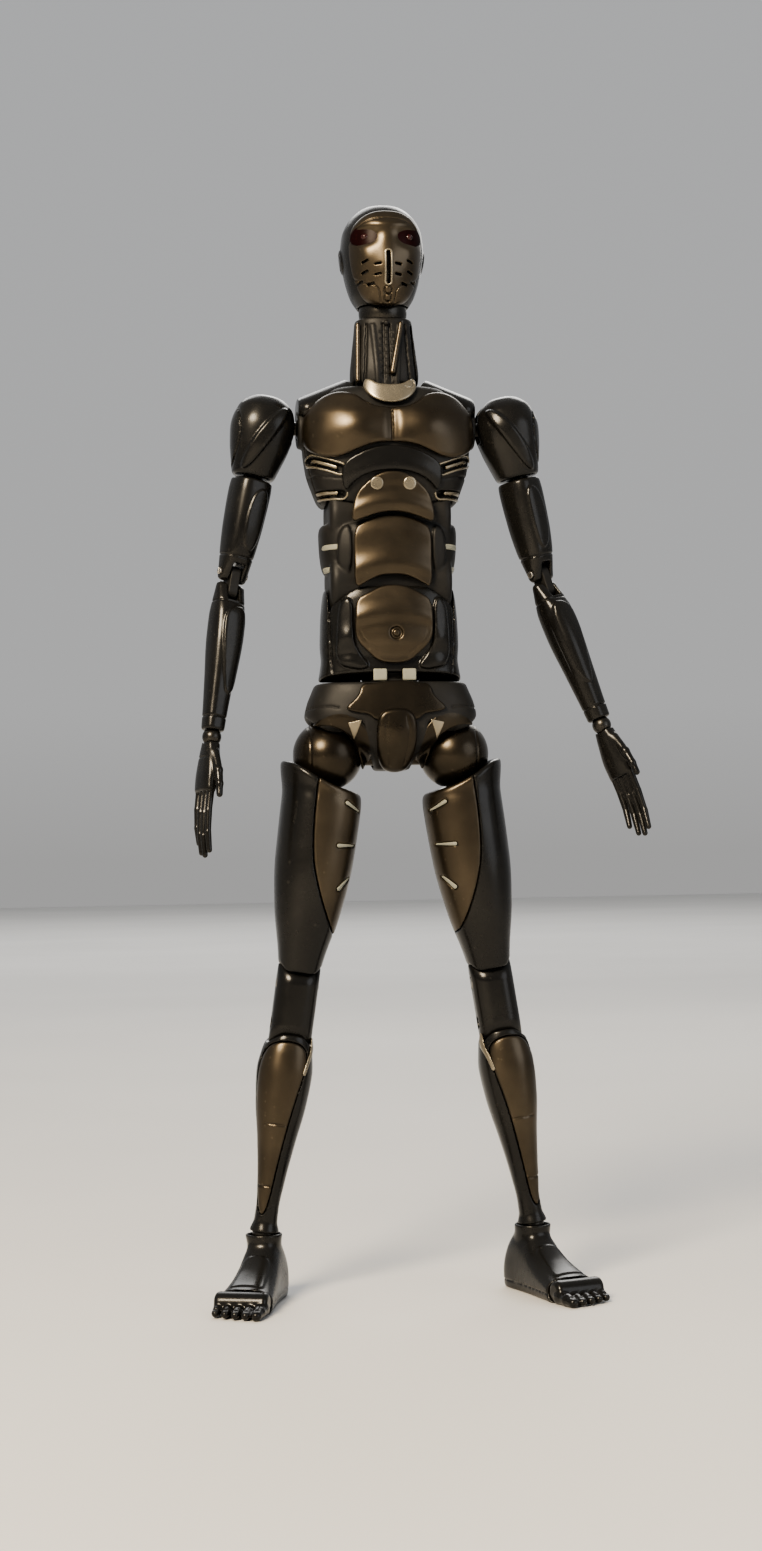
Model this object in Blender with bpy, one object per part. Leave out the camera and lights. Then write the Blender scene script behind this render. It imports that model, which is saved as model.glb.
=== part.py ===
"""Poseable humanoid robot figure, standing, arms hanging, about 300 mm tall.

Frame: metres, +Z up, the figure faces -Y and its own left side is +X. The soles rest
on Z = 0. Each moving body hangs from an empty placed on its joint. Dimensions below
are in millimetres and are scaled once, where geometry is written.
"""
import math

import bmesh
import bpy
from mathutils import Vector

for old in list(bpy.data.objects):
    bpy.data.objects.remove(old, do_unlink=True)

MM = 0.001
GAP = 0.30             # clearance between neighbouring pieces
SEAT = 0.25            # clearance under a plate that sits on a shell
FACET = 0.945          # how far the flats of a faceted socket fall inside its radius

CENTRE_X = -6.91       # shifts the whole figure so its outline is centred
CENTRE_Y = 8.21

# heights of the joints of the trunk
HIP_X = 17.5
HIP_Z = 148.0
WAIST_Z = 172.0
BELLY_Z = 195.5
CHEST_Z = 213.5
NECK_Z = 248.0
HEAD_Z = 270.5
HEAD_Y = 1.0
SHOULDER_X = 34.0
SHOULDER_Z = 238.0

# radii of the joint balls and barrels
HIP_R = 8.6
WAIST_R = 8.2
BARREL_R = 7.0
BARREL_W = 14.0
NECK_R = 7.4
HEAD_R = 5.2
SHOULDER_R = 4.6
WRIST_R = 2.3
ANKLE_R = 3.3

# lengths along the limbs, measured down from the joint above
LEG_SPLAY = 8.6
KNEE_TOP = 63.3
KNEE_SPAN = 11.0
SHANK = 57.1
KNEE_R = 5.3
TONGUE_R = 4.0
FOOT_TURN = 20.0
TOE_Y = -22.5
TOE_UP = 3.3
TOE_R = 2.9
ARM_RAISE = 12.5
ELBOW_TOP = 41.0
ELBOW_SPAN = 5.0
FOREARM = 41.0
ANKLE_HIGH = HIP_Z - (KNEE_TOP + KNEE_SPAN + SHANK) * math.cos(math.radians(LEG_SPLAY))


def material(name, colour, rough, metal):
    mat = bpy.data.materials.new(name)
    mat.use_nodes = True
    bsdf = mat.node_tree.nodes["Principled BSDF"]
    bsdf.inputs["Base Color"].default_value = (colour[0], colour[1], colour[2], 1.0)
    bsdf.inputs["Roughness"].default_value = rough
    bsdf.inputs["Metallic"].default_value = metal
    return mat


SHELL = material("gloss_shell", (0.020, 0.019, 0.018), 0.24, 0.0)
FRAME = material("satin_frame", (0.030, 0.029, 0.028), 0.48, 0.0)
PLATE = material("bronze_plate", (0.095, 0.080, 0.062), 0.32, 0.55)
PALE = material("pale_pad", (0.42, 0.43, 0.37), 0.55, 0.0)
LENS = material("dark_lens", (0.060, 0.012, 0.010), 0.08, 0.0)
PIN = material("steel_pin", (0.45, 0.43, 0.40), 0.28, 1.0)


def pivot(name, parent, at=(0, 0, 0), turn=(0, 0, 0)):
    empty = bpy.data.objects.new(name, None)
    bpy.context.scene.collection.objects.link(empty)
    empty.parent = parent
    empty.location = Vector(at) * MM
    empty.rotation_euler = [math.radians(a) for a in turn]
    return empty


def solid(name, parent, mat, bm, smooth=True):
    """Turns a closed bmesh in millimetres into an object under its joint."""
    bmesh.ops.recalc_face_normals(bm, faces=bm.faces[:])
    bmesh.ops.scale(bm, vec=(MM, MM, MM), verts=bm.verts[:])
    for face in bm.faces:
        face.smooth = smooth and len(face.verts) <= 4
    mesh = bpy.data.meshes.new(name)
    bm.to_mesh(mesh)
    bm.free()
    obj = bpy.data.objects.new(name, mesh)
    bpy.context.scene.collection.objects.link(obj)
    obj.parent = parent
    if mat is not None:
        mesh.materials.append(mat)
    return obj


def skin(bm, loops):
    """Joins loops of points of equal count into a closed tube with flat ends."""
    rows = [[bm.verts.new(p) for p in loop] for loop in loops]
    count = len(rows[0])
    for low, high in zip(rows, rows[1:]):
        for i in range(count):
            j = (i + 1) % count
            bm.faces.new((low[i], low[j], high[j], high[i]))
    bm.faces.new(rows[0][::-1])
    bm.faces.new(rows[-1])


def power(value, n):
    return math.copysign(abs(value) ** (2.0 / n), value)


def oval(z, hx, hy, cx=0.0, cy=0.0, n=2.8, seg=16):
    points = []
    for i in range(seg):
        a = 2 * math.pi * (i + 0.5) / seg
        points.append((cx + hx * power(math.cos(a), n), cy + hy * power(math.sin(a), n), z))
    return points


def grow(rings, by):
    """The same stack of ovals, larger all round by a distance."""
    top = max(r[0] for r in rings)
    low = min(r[0] for r in rings)
    out = []
    for r in rings:
        z = r[0] + (by if r[0] == top else 0.0) - (by if r[0] == low else 0.0)
        out.append((z, r[1] + by, r[2] + by) + tuple(r[3:]))
    return out


def loft(name, parent, mat, rings, n=2.8, seg=16):
    bm = bmesh.new()
    loops = []
    for r in rings:
        cx = r[3] if len(r) > 3 else 0.0
        cy = r[4] if len(r) > 4 else 0.0
        power_n = r[5] if len(r) > 5 else n
        loops.append(oval(r[0], r[1], r[2], cx, cy, power_n, seg))
    skin(bm, loops)
    return solid(name, parent, mat, bm)


def beam(name, parent, mat, stations, seg=12):
    """A round bar through stations given as ((x, y, z), radius)."""
    start = Vector(stations[0][0])
    end = Vector(stations[-1][0])
    along = (end - start).normalized()
    side = along.orthogonal().normalized()
    other = along.cross(side)
    bm = bmesh.new()
    loops = []
    for point, radius in stations:
        loop = []
        for i in range(seg):
            a = 2 * math.pi * (i + 0.5) / seg
            loop.append(Vector(point) + radius * (side * math.cos(a) + other * math.sin(a)))
        loops.append(loop)
    skin(bm, loops)
    return solid(name, parent, mat, bm)


def ball(name, parent, mat, at, radius, u=18, v=11):
    bm = bmesh.new()
    bmesh.ops.create_uvsphere(bm, u_segments=u, v_segments=v, radius=radius)
    bmesh.ops.translate(bm, vec=at, verts=bm.verts[:])
    return solid(name, parent, mat, bm)


def block(name, parent, mat, low, high, tilt=0.0):
    """A box between two corners, tilted about Y through its own middle."""
    bm = bmesh.new()
    bmesh.ops.create_cube(bm, size=1.0)
    size = [h - l for l, h in zip(low, high)]
    bmesh.ops.scale(bm, vec=size, verts=bm.verts[:])
    c = math.cos(math.radians(tilt))
    s = math.sin(math.radians(tilt))
    for v in bm.verts:
        x, y, z = v.co
        v.co = (x * c + z * s, y, z * c - x * s)
    middle = [(h + l) / 2 for l, h in zip(low, high)]
    bmesh.ops.translate(bm, vec=middle, verts=bm.verts[:])
    return solid(name, parent, mat, bm, smooth=False)


def slab(name, parent, mat, outline, across, start, stop):
    """An outline extruded along X ("x": points are y, z) or along Y ("y": x, z)."""
    bm = bmesh.new()
    if across == "x":
        loops = [[(d, p[0], p[1]) for p in outline] for d in (start, stop)]
    else:
        loops = [[(p[0], d, p[1]) for p in outline] for d in (start, stop)]
    skin(bm, loops)
    return solid(name, parent, mat, bm, smooth=False)


def use(body, tool, operation):
    mod = body.modifiers.new(operation.lower(), "BOOLEAN")
    mod.operation = operation
    mod.solver = "EXACT"
    mod.object = tool
    tool.hide_render = True
    tool.display_type = "WIRE"


def cut(body, *tools):
    for tool in tools:
        use(body, tool, "DIFFERENCE")


def join(body, *tools):
    for tool in tools:
        use(body, tool, "UNION")


def pocket(parent, at, radius):
    """A spherical cutter that clears a ball of the given radius."""
    return ball("pocket", parent, None, at, (radius + GAP) / FACET, 12, 8)


def mirrored(half):
    """Closes a half outline, given top to bottom on the +X side, across X = 0."""
    other = [(-x, z) for x, z in reversed(half) if x > 1e-6]
    return list(half) + other


def plate(name, parent, mat, rings, outline, thick, facing=-1, n=2.8, near=1.0, seg=20):
    """A curved plate seated on a stack of ovals and trimmed to an outline in X, Z."""
    body = loft(name, parent, mat, grow(rings, SEAT + thick), n, seg)
    under = loft(name + "_under", parent, None, grow(rings, SEAT), n, seg)
    trim = slab(name + "_trim", parent, None, outline, "y", facing * near, facing * 40)
    use(body, trim, "INTERSECT")
    cut(body, under)
    return body


def fan(first, last, far, close, step=12):
    """A star-shaped outline: far between two directions, close everywhere else."""
    points = []
    for i in range(round(360 / step)):
        a = i * step
        inside = (a - first) % 360 <= (last - first)
        r = far if inside else close
        points.append((r * math.cos(math.radians(a)), r * math.sin(math.radians(a))))
    return points


root = pivot("figure", None, (CENTRE_X, CENTRE_Y, 0))

# ------------------------------------------------------------------ pelvis
PELVIS = [(143.5, 4.0, 6.0), (147.0, 6.5, 9.5), (151.0, 13.0, 11.8), (155.5, 22.0, 12.8),
          (160.0, 22.8, 13.0), (165.0, 21.2, 12.3), (167.2, 19.6, 11.3)]
pelvis = loft("pelvis_block", root, FRAME, PELVIS, 3.0, 20)
HIP_CLEAR = 9.8
front_rise = 35.0
back_rise = 15.0
arch = [(-26.0, -30.0), (-26.0, 26.0 * math.tan(math.radians(front_rise)))]
for k in range(7):
    angle = 180 - front_rise - k * (180 - front_rise - back_rise) / 6
    a = math.radians(angle)
    arch.append((HIP_CLEAR * math.cos(a), HIP_CLEAR * math.sin(a)))
arch.append((26.0, 26.0 * math.tan(math.radians(back_rise))))
arch.append((26.0, -30.0))
arch = [(y, HIP_Z + z) for y, z in arch]
cut(pelvis, slab("hip_arch_l", root, None, arch, "x", 8.7, 32.0))
cut(pelvis, slab("hip_arch_r", root, None, arch, "x", -8.7, -32.0))
for s in (1, -1):
    bore = [((s * 3.2, 0, HIP_Z), 3.35), ((s * 12.0, 0, HIP_Z), 3.35)]
    cut(pelvis, beam("hip_bore", root, None, bore, 14))
cut(pelvis, pocket(root, (0, 0, WAIST_Z), WAIST_R))
cut(pelvis, beam("waist_bore", root, None, [((0, 0, 157.4), 3.2), ((0, 0, 169.0), 3.2)], 14))

front = mirrored([(0, 166.1), (4, 166.8), (9.0, 166.3), (15.2, 160.6), (13.4, 158.9),
                  (6.2, 159.3), (0, 160.0)])
plate("pelvis_front_plate", root, SHELL, PELVIS, front, 1.1, -1, 3.0, 5.0)
back = mirrored([(0, 166.0), (8, 165.7), (14, 161.5), (12.5, 157.0), (5, 153.2), (0, 152.0)])
plate("pelvis_back_plate", root, SHELL, PELVIS, back, 1.1, 1, 3.0, 5.0)
guard = mirrored([(0, 159.2), (5.0, 158.5), (5.2, 152.0), (3.2, 147.2), (1.4, 145.4), (0, 145.2)])
plate("crotch_guard", root, SHELL, PELVIS, guard, 1.2, -1, 3.0, 3.0)

# ------------------------------------------------------------------ waist ball
waist = pivot("waist_turn", root, (0, 0, WAIST_Z))
stem = beam("waist_stem", waist, None, [((0, 0, -14), 2.8), ((0, 0, -4), 2.8)], 12)
shelf = block("waist_shelf", waist, None, (-6.0, -10.15, -4.3), (6.0, -4.5, -3.4))
waist_ball = ball("waist_ball", waist, FRAME, (0, 0, 0), WAIST_R, 14, 8)
join(waist_ball, stem, shelf)
for s, side in ((1, "l"), (-1, "r")):
    pad = [(-4.25, 1.9, 0.5, s * 4.0, -10.95), (-0.2, 1.9, 0.5, s * 4.0, -10.95)]
    loft("waist_pad_" + side, waist, PALE, pad, 6.0, 12)

# ------------------------------------------------------------------ lower abdomen
LOWER = [(170.8, 16.5, 8.0), (174.0, 18.8, 9.2), (178.0, 19.0, 10.8), (184.0, 18.8, 11.3),
         (190.0, 18.3, 11.2), (193.4, 17.3, 10.4)]


def local(rings, z0):
    return [(r[0] - z0,) + tuple(r[1:]) for r in rings]


def lowered(outline, z0):
    return [(x, z - z0) for x, z in outline]


lower = pivot("waist_bend", waist)
lower_body = loft("lower_abdomen", lower, FRAME, local(LOWER, WAIST_Z), 2.8, 20)
cut(lower_body, pocket(lower, (0, 0, 0), WAIST_R))
barrel_low = [((-BARREL_W - 0.4, 0, BELLY_Z - WAIST_Z), BARREL_R + 0.55),
              ((BARREL_W + 0.4, 0, BELLY_Z - WAIST_Z), BARREL_R + 0.55)]
cut(lower_body, beam("belly_socket", lower, None, barrel_low, 20))
belly = mirrored([(0, 193.4), (5, 192.6), (10, 190.0), (10.1, 181.0), (3.2, 172.9), (0, 172.6)])
belly_plate = plate("belly_plate", lower, SHELL, local(LOWER, WAIST_Z), lowered(belly, WAIST_Z), 1.2)
navel = beam("navel", lower, None, [((0, -30, 8.5), 1.7), ((0, -5, 8.5), 1.7)], 14)
cut(belly_plate, navel)

# ------------------------------------------------------------------ middle abdomen
MID = [(197.3, 16.8, 9.8), (200.0, 18.2, 11.0), (205.0, 18.8, 11.5), (208.5, 18.8, 11.3),
       (210.6, 17.8, 10.4)]
MID_SKIN = [(189.0, 17.6, 11.7), (197.0, 18.0, 11.4), (205.0, 18.8, 11.5), (209.0, 18.8, 11.4),
            (214.0, 18.6, 10.9)]
mid = pivot("abdomen_bend", lower, (0, 0, BELLY_Z - WAIST_Z))
mid_body = loft("mid_abdomen", mid, FRAME, local(MID, BELLY_Z), 2.8, 20)
for z in (0.0, CHEST_Z - BELLY_Z):
    bar = [((-BARREL_W, 0, z), BARREL_R), ((BARREL_W, 0, z), BARREL_R)]
    join(mid_body, beam("barrel", mid, None, bar, 20))
front = mirrored([(0, 211.9), (6, 211.3), (10.2, 209.2), (10.5, 200.0), (10.3, 193.6),
                  (6, 195.4), (0, 196.2)])
plate("mid_abdomen_plate", mid, SHELL, local(MID_SKIN, BELLY_Z), lowered(front, BELLY_Z), 1.1)

# ------------------------------------------------------------------ chest
RIBS = [(216.5, 18.8, 11.2), (220.0, 20.3, 12.4), (226.0, 22.2, 13.6), (233.0, 23.0, 14.0),
        (240.0, 22.4, 13.2), (244.5, 18.5, 11.6), (247.2, 12.0, 9.4)]
UPPER_SKIN = [(206.0, 18.5, 13.2), (214.0, 19.0, 13.2), (220.0, 20.0, 13.3), (226.0, 21.5, 14.0)]
COLLAR = [(240.0, 12.0, 13.6), (246.0, 10.2, 12.3), (252.0, 8.6, 10.6)]
chest = pivot("chest_bend", mid, (0, 0, CHEST_Z - BELLY_Z))
ribs = loft("rib_cage", chest, FRAME, local(RIBS, CHEST_Z), 2.8, 20)
bar = [((-BARREL_W - 0.4, 0, 0), BARREL_R + 0.55), ((BARREL_W + 0.4, 0, 0), BARREL_R + 0.55)]
cut(ribs, beam("chest_socket", chest, None, bar, 20))
cut(ribs, pocket(chest, (0, 0, NECK_Z - CHEST_Z), NECK_R))
for s in (1, -1):
    z = SHOULDER_Z - CHEST_Z
    cut(ribs, beam("axle_bore", chest, None, [((s * 13.5, 0, z), 3.35), ((s * 30, 0, z), 3.35)], 14))
    for row in (0, 1):
        z = 226.6 - 6.6 * row - CHEST_Z
        x = 17.4 - 0.6 * row
        low = (s * x - 4.4, -30, z - 0.7)
        high = (s * x + 4.4, -10.4, z + 0.7)
        cut(ribs, block("rib_vent", chest, None, low, high, s * -14.0))
pecs = mirrored([(0, 241.9), (4.8, 242.4), (7.8, 244.6), (14, 245.8), (19.5, 243.0), (22.4, 239.0),
                 (22.8, 232.0), (22.0, 229.2), (14, 230.2), (7, 231.4), (0, 232.3)])
plate("chest_plate", chest, SHELL, local(RIBS, CHEST_Z), lowered(pecs, CHEST_Z), 1.5, -1, 2.8, 2.0)
band = mirrored([(0, 230.8), (6, 229.9), (11.8, 227.2), (13.0, 220.6), (11.7, 220.3),
                 (10.4, 222.8), (6, 224.3), (0, 224.9)])
plate("chest_band", chest, FRAME, local(RIBS, CHEST_Z), lowered(band, CHEST_Z), 0.9, -1, 2.8, 2.0)
upper = mirrored([(0, 223.2), (6, 222.6), (10.6, 219.4), (11.0, 211.2), (7, 212.7), (0, 213.4)])
upper_plate = plate("upper_abdomen_plate", chest, SHELL, local(UPPER_SKIN, CHEST_Z),
                    lowered(upper, CHEST_Z), 1.1)
shoulder_blades = mirrored([(0, 245.0), (10, 244.4), (18, 241.0), (19, 228.0), (12, 222.0),
                            (0, 220.6)])
plate("back_plate", chest, SHELL, local(RIBS, CHEST_Z), lowered(shoulder_blades, CHEST_Z), 1.4,
      1, 2.8, 2.0)
gorget = mirrored([(0, 247.3), (3.4, 248.0), (4.6, 249.6), (6.4, 249.7), (6.7, 246.4),
                   (4.3, 244.1), (0, 243.3)])
plate("collar", chest, PLATE, local(COLLAR, CHEST_Z), lowered(gorget, CHEST_Z), 1.1)

# ------------------------------------------------------------------ neck and head
neck = pivot("neck_bend", chest, (0, 0, NECK_Z - CHEST_Z))
NECK = [(249.8, 8.8, 7.5, 0, 0.4), (252.5, 9.1, 7.6, 0, 0.4), (259.0, 8.0, 7.0, 0, 0.6),
        (264.0, 7.3, 6.5, 0, 0.8), (267.0, 6.8, 6.1, 0, 1.0)]
neck_body = loft("neck", neck, FRAME, local(NECK, NECK_Z), 2.4)
join(neck_body, ball("neck_base", neck, None, (0, 0, 0), NECK_R, 12, 8))
rods = [((-8.3, -3.6, 2.4), (-7.0, -2.6, 18.4)), ((0.3, -7.3, 2.4), (3.4, -5.2, 18.4))]
for foot, tip in rods:
    join(neck_body, beam("tendon", neck, None, [(foot, 0.8), (tip, 0.8)], 8))
cut(neck_body, pocket(neck, (0, HEAD_Y, HEAD_Z - NECK_Z), HEAD_R))
bore = [((0, HEAD_Y, 8.6), 2.8), ((0, HEAD_Y, 20.0), 2.8)]
cut(neck_body, beam("neck_bore", neck, None, bore, 12))

turn = pivot("head_turn", neck, (0, HEAD_Y, HEAD_Z - NECK_Z))
neck_ball = ball("neck_ball", turn, PIN, (0, 0, 0), HEAD_R, 12, 8)
join(neck_ball, beam("neck_stem", turn, None, [((0, 0, -13.3), 2.4), ((0, 0, -2), 2.4)], 12))

head = pivot("head_nod", turn)
SKULL = [(271.8, 6.6, 8.0), (275.0, 8.5, 11.0), (281.0, 10.0, 12.6), (288.0, 11.2, 13.0),
         (294.0, 10.3, 12.0), (297.8, 7.4, 9.0), (299.7, 3.6, 4.6)]
SKULL = [(z, hx, hy, 0.0, 1.6 - HEAD_Y) for z, hx, hy in SKULL]
MASK = [(270.2, 5.9, 9.2), (273.5, 7.7, 11.3), (280.0, 9.9, 12.6), (288.0, 11.0, 13.0),
        (294.0, 10.2, 12.2), (298.5, 7.6, 9.8)]
MASK = [(z, hx, hy, 0.0, 0.6 - HEAD_Y) for z, hx, hy in MASK]
skull = loft("skull_shell", head, SHELL, local(SKULL, HEAD_Z), 2.4)
cut(skull, pocket(head, (0, 0, 0), HEAD_R))
strip = mirrored([(0, 292.5), (8.0, 292.2), (8.4, 288.7), (0, 288.2)])
plate("eye_strip", head, LENS, local(SKULL, HEAD_Z), lowered(strip, HEAD_Z), 0.45, -1, 2.4, 7.4, 16)
face = mirrored([(0, 295.2), (5.5, 294.3), (9.0, 291.6), (10.1, 286.5), (9.0, 277.5), (6.2, 272.2),
                 (3.2, 271.0), (0, 270.8)])
mask = plate("face_mask", head, SHELL, local(MASK, HEAD_Z), lowered(face, HEAD_Z), 1.0, -1, 2.4,
             6.6, 20)
slot_z = (276.9 - HEAD_Z, 287.0 - HEAD_Z)
cut(mask, block("face_slot", head, None, (-0.6, -30, slot_z[0]), (0.6, -6, slot_z[1])))
for s in (1, -1):
    z = 290.3 - HEAD_Z
    eye = beam("eye", head, None, [((s * 6.0, -30, z), 1.6), ((s * 6.0, -6, z), 1.6)], 14)
    cut(mask, eye)
    for row, z in enumerate((283.6, 280.6, 277.8)):
        for x in (2.7, 5.6):
            low = (s * x - 0.75, -30, z - HEAD_Z - 0.3)
            high = (s * x + 0.75, -6, z - HEAD_Z + 0.3)
            cut(mask, block("face_vent", head, None, low, high, s * 8.0))

# ------------------------------------------------------------------ arms
CAP = [(8.5, 2.4, 2.4), (7.2, 5.2, 5.0), (4.4, 7.5, 7.3), (0.0, 8.5, 8.3), (-5.0, 8.3, 8.2),
       (-10.0, 7.0, 7.1), (-14.0, 5.7, 5.9)]
UPPER_ARM = [(-14.5, 5.2, 5.4), (-18.0, 5.4, 5.6), (-27.0, 5.1, 5.4), (-34.0, 4.6, 4.7),
             (-38.0, 4.3, 3.6, 0, 0, 3.6), (-41.0, 4.2, 2.4, 0, 0, 4.0),
             (-42.3, 4.1, 1.9, 0, 0, 4.0), (-43.2, 3.9, 0.9, 0, 0, 4.0)]
LOW_ARM = [(2.1, 3.9, 0.8, 0, 0, 4.0), (1.3, 4.1, 1.8, 0, 0, 4.0), (0.0, 4.2, 2.3, 0, 0, 4.0),
           (-3.0, 4.3, 3.4, 0, 0, 3.6), (-7.0, 4.5, 4.3), (-13.0, 4.4, 4.5), (-25.0, 3.6, 3.7),
           (-35.0, 2.9, 2.9), (-38.6, 2.7, 2.7)]
REST = {"l": (36.0, 6.0, 6.0), "r": (-24.0, 5.0, 5.0)}


def arm(side, s):
    """One arm: axle, cap, upper arm, elbow link and pin, forearm, wrist ball and hand."""
    twist, bend_a, bend_b = REST[side]
    swing = pivot("shoulder_swing_" + side, chest, (s * SHOULDER_X, 0, SHOULDER_Z - CHEST_Z))
    axle = beam("shoulder_joint_" + side, swing, PIN,
                [((s * -20.0, 0, 0), 3.0), ((s * -9.4, 0, 0), 3.0), ((s * -8.8, 0, 0), 1.8),
                 ((0, 0, 0), 1.8)], 14)
    join(axle, ball("shoulder_ball", swing, None, (0, 0, 0), SHOULDER_R, 12, 7))

    lift = pivot("arm_raise_" + side, swing, (0, 0, 0), (0, -s * ARM_RAISE, 0))
    cap = loft("shoulder_cap_" + side, lift, SHELL, CAP, 2.3, 18)
    cut(cap, pocket(lift, (0, 0, 0), SHOULDER_R))
    first, last = (80.0, 196.0) if s > 0 else (-16.0, 100.0)
    groove = slab("cap_slot", lift, None, fan(first, last, 14.0, 3.0), "y", -2.25, 2.25)
    cut(cap, groove)
    cut(cap, beam("cap_bore", lift, None, [((0, 0, -20), 2.95), ((0, 0, -7.6), 2.95)], 12))

    spin = pivot("arm_twist_" + side, lift, (0, 0, 0), (0, 0, s * twist))
    upper_arm = loft("upper_arm_" + side, spin, SHELL, UPPER_ARM, 2.4)
    join(upper_arm, beam("arm_peg", spin, None, [((0, 0, -18), 2.6), ((0, 0, -8.0), 2.6)], 12))
    cut(upper_arm, block("elbow_fork", spin, None, (-1.8, -9, -50), (1.8, 9, -38.2)))
    hole = [((-9, 0, -ELBOW_TOP), 1.2), ((9, 0, -ELBOW_TOP), 1.2)]
    cut(upper_arm, beam("elbow_hole", spin, None, hole, 10))
    pin_line = [((-4.5, 0, -ELBOW_TOP), 1.0), ((4.5, 0, -ELBOW_TOP), 1.0)]
    beam("elbow_pin_" + side, spin, PIN, pin_line, 10)

    top = pivot("elbow_upper_" + side, spin, (0, 0, -ELBOW_TOP), (-bend_a, 0, 0))
    dogbone = []
    for k in range(7):
        a = math.radians(k * 30)
        dogbone.append((2.2 * math.cos(a), 2.2 * math.sin(a)))
    for k in range(7):
        a = math.radians(180 + k * 30)
        dogbone.append((2.2 * math.cos(a), -ELBOW_SPAN + 2.2 * math.sin(a)))
    link = slab("elbow_link_" + side, top, FRAME, dogbone, "x", -1.45, 1.45)
    for z in (0.0, -ELBOW_SPAN):
        cut(link, beam("link_hole", top, None, [((-3, 0, z), 1.2), ((3, 0, z), 1.2)], 10))

    low = pivot("elbow_lower_" + side, top, (0, 0, -ELBOW_SPAN), (-bend_b, 0, 0))
    lower_arm = loft("forearm_" + side, low, SHELL, LOW_ARM, 2.4)
    cut(lower_arm, block("forearm_fork", low, None, (-1.8, -9, -2.8), (1.8, 9, 9)))
    join(lower_arm, beam("forearm_pin", low, None, [((-2.6, 0, 0), 1.0), ((2.6, 0, 0), 1.0)], 10))
    cut(lower_arm, pocket(low, (0, 0, -FOREARM), WRIST_R))
    cut(lower_arm, beam("wrist_bore", low, None, [((0, 0, -42), 1.5), ((0, 0, -33), 1.5)], 10))

    wrist = pivot("wrist_turn_" + side, low, (0, 0, -FOREARM))
    wrist_ball = ball("wrist_ball_" + side, wrist, PIN, (0, 0, 0), WRIST_R, 10, 6)
    join(wrist_ball, beam("wrist_stem", wrist, None, [((0, 0, 0), 1.15), ((0, 0, 7.4), 1.15)], 8))

    palm_pivot = pivot("wrist_bend_" + side, wrist)
    palm = [(-1.5, 1.9, 2.4), (-5.0, 2.3, 3.5), (-11.0, 2.3, 4.4), (-15.5, 2.0, 4.3)]
    hand = loft("hand_" + side, palm_pivot, SHELL, palm, 3.0, 12)
    curl = -s
    for k in range(4):
        y = -3.15 + 2.1 * k
        reach = (17.0, 18.2, 17.4, 14.6)[k]
        finger = [((0, y, -14.2), 1.0), ((0, y, -21.0), 0.97),
                  ((curl * 0.8, y, -14.2 - reach * 0.75), 0.9), ((curl * 1.9, y, -14.2 - reach), 0.6)]
        join(hand, beam("finger", palm_pivot, None, finger, 8))
    thumb = [((0, -2.6, -5.0), 1.3), ((curl * 0.8, -5.2, -11.0), 1.1), ((curl * 1.2, -6.2, -16.5), 0.7)]
    join(hand, beam("thumb", palm_pivot, None, thumb, 8))
    cut(hand, pocket(palm_pivot, (0, 0, 0), WRIST_R))


# ------------------------------------------------------------------ legs
THIGH = [(-1.5, 7.4, 6.6, 3.2, 0.2), (-4.0, 9.3, 8.6, 1.9, 0.2), (-8.0, 10.4, 9.9, 0.7, 0.1),
         (-14.0, 10.7, 10.5, 0.1, 0), (-29.0, 10.4, 10.4, 0, 0), (-43.5, 8.8, 9.1, 0, 0),
         (-54.6, 6.5, 7.2, 0, 0), (-59.8, 5.5, 6.1, 0, 0)]
CALF = [(-3.6, 5.5, 5.9, 0, 0.2), (-8.0, 7.0, 7.4, 0, 0.6), (-13.0, 7.3, 8.0, 0, 0.9),
        (-21.0, 6.5, 7.3, 0, 0.7), (-32.0, 5.0, 5.6, 0, 0.3), (-43.0, 3.7, 4.1, 0, 0),
        (-51.0, 3.0, 3.2, 0, 0), (-55.2, 2.9, 3.0, 0, 0)]
FOOT = [(9.6, 3.4, 6.0), (8.4, 4.6, 9.5), (5.0, 5.2, 12.6), (0.0, 5.4, 13.6), (-5.0, 5.8, 12.4),
        (-12.0, 6.6, 9.2), (-19.0, 7.4, 6.9), (-22.0, 7.6, 6.3)]


def foot_ring(y, half, high, seg=16):
    """One cross-section of the foot, flat along the sole."""
    points = []
    for i in range(seg):
        a = 2 * math.pi * (i + 0.5) / seg
        x = half * power(math.cos(a), 3.0)
        z = high * (0.35 + 0.65 * power(math.sin(a), 3.0))
        points.append((x, y, max(z, 0.0) - ANKLE_HIGH))
    return points


def side_rings(rings, s):
    out = []
    for r in rings:
        cx = s * r[3] if len(r) > 3 else 0.0
        cy = r[4] if len(r) > 4 else 0.0
        out.append((r[0], r[1], r[2], cx, cy))
    return out


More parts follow.
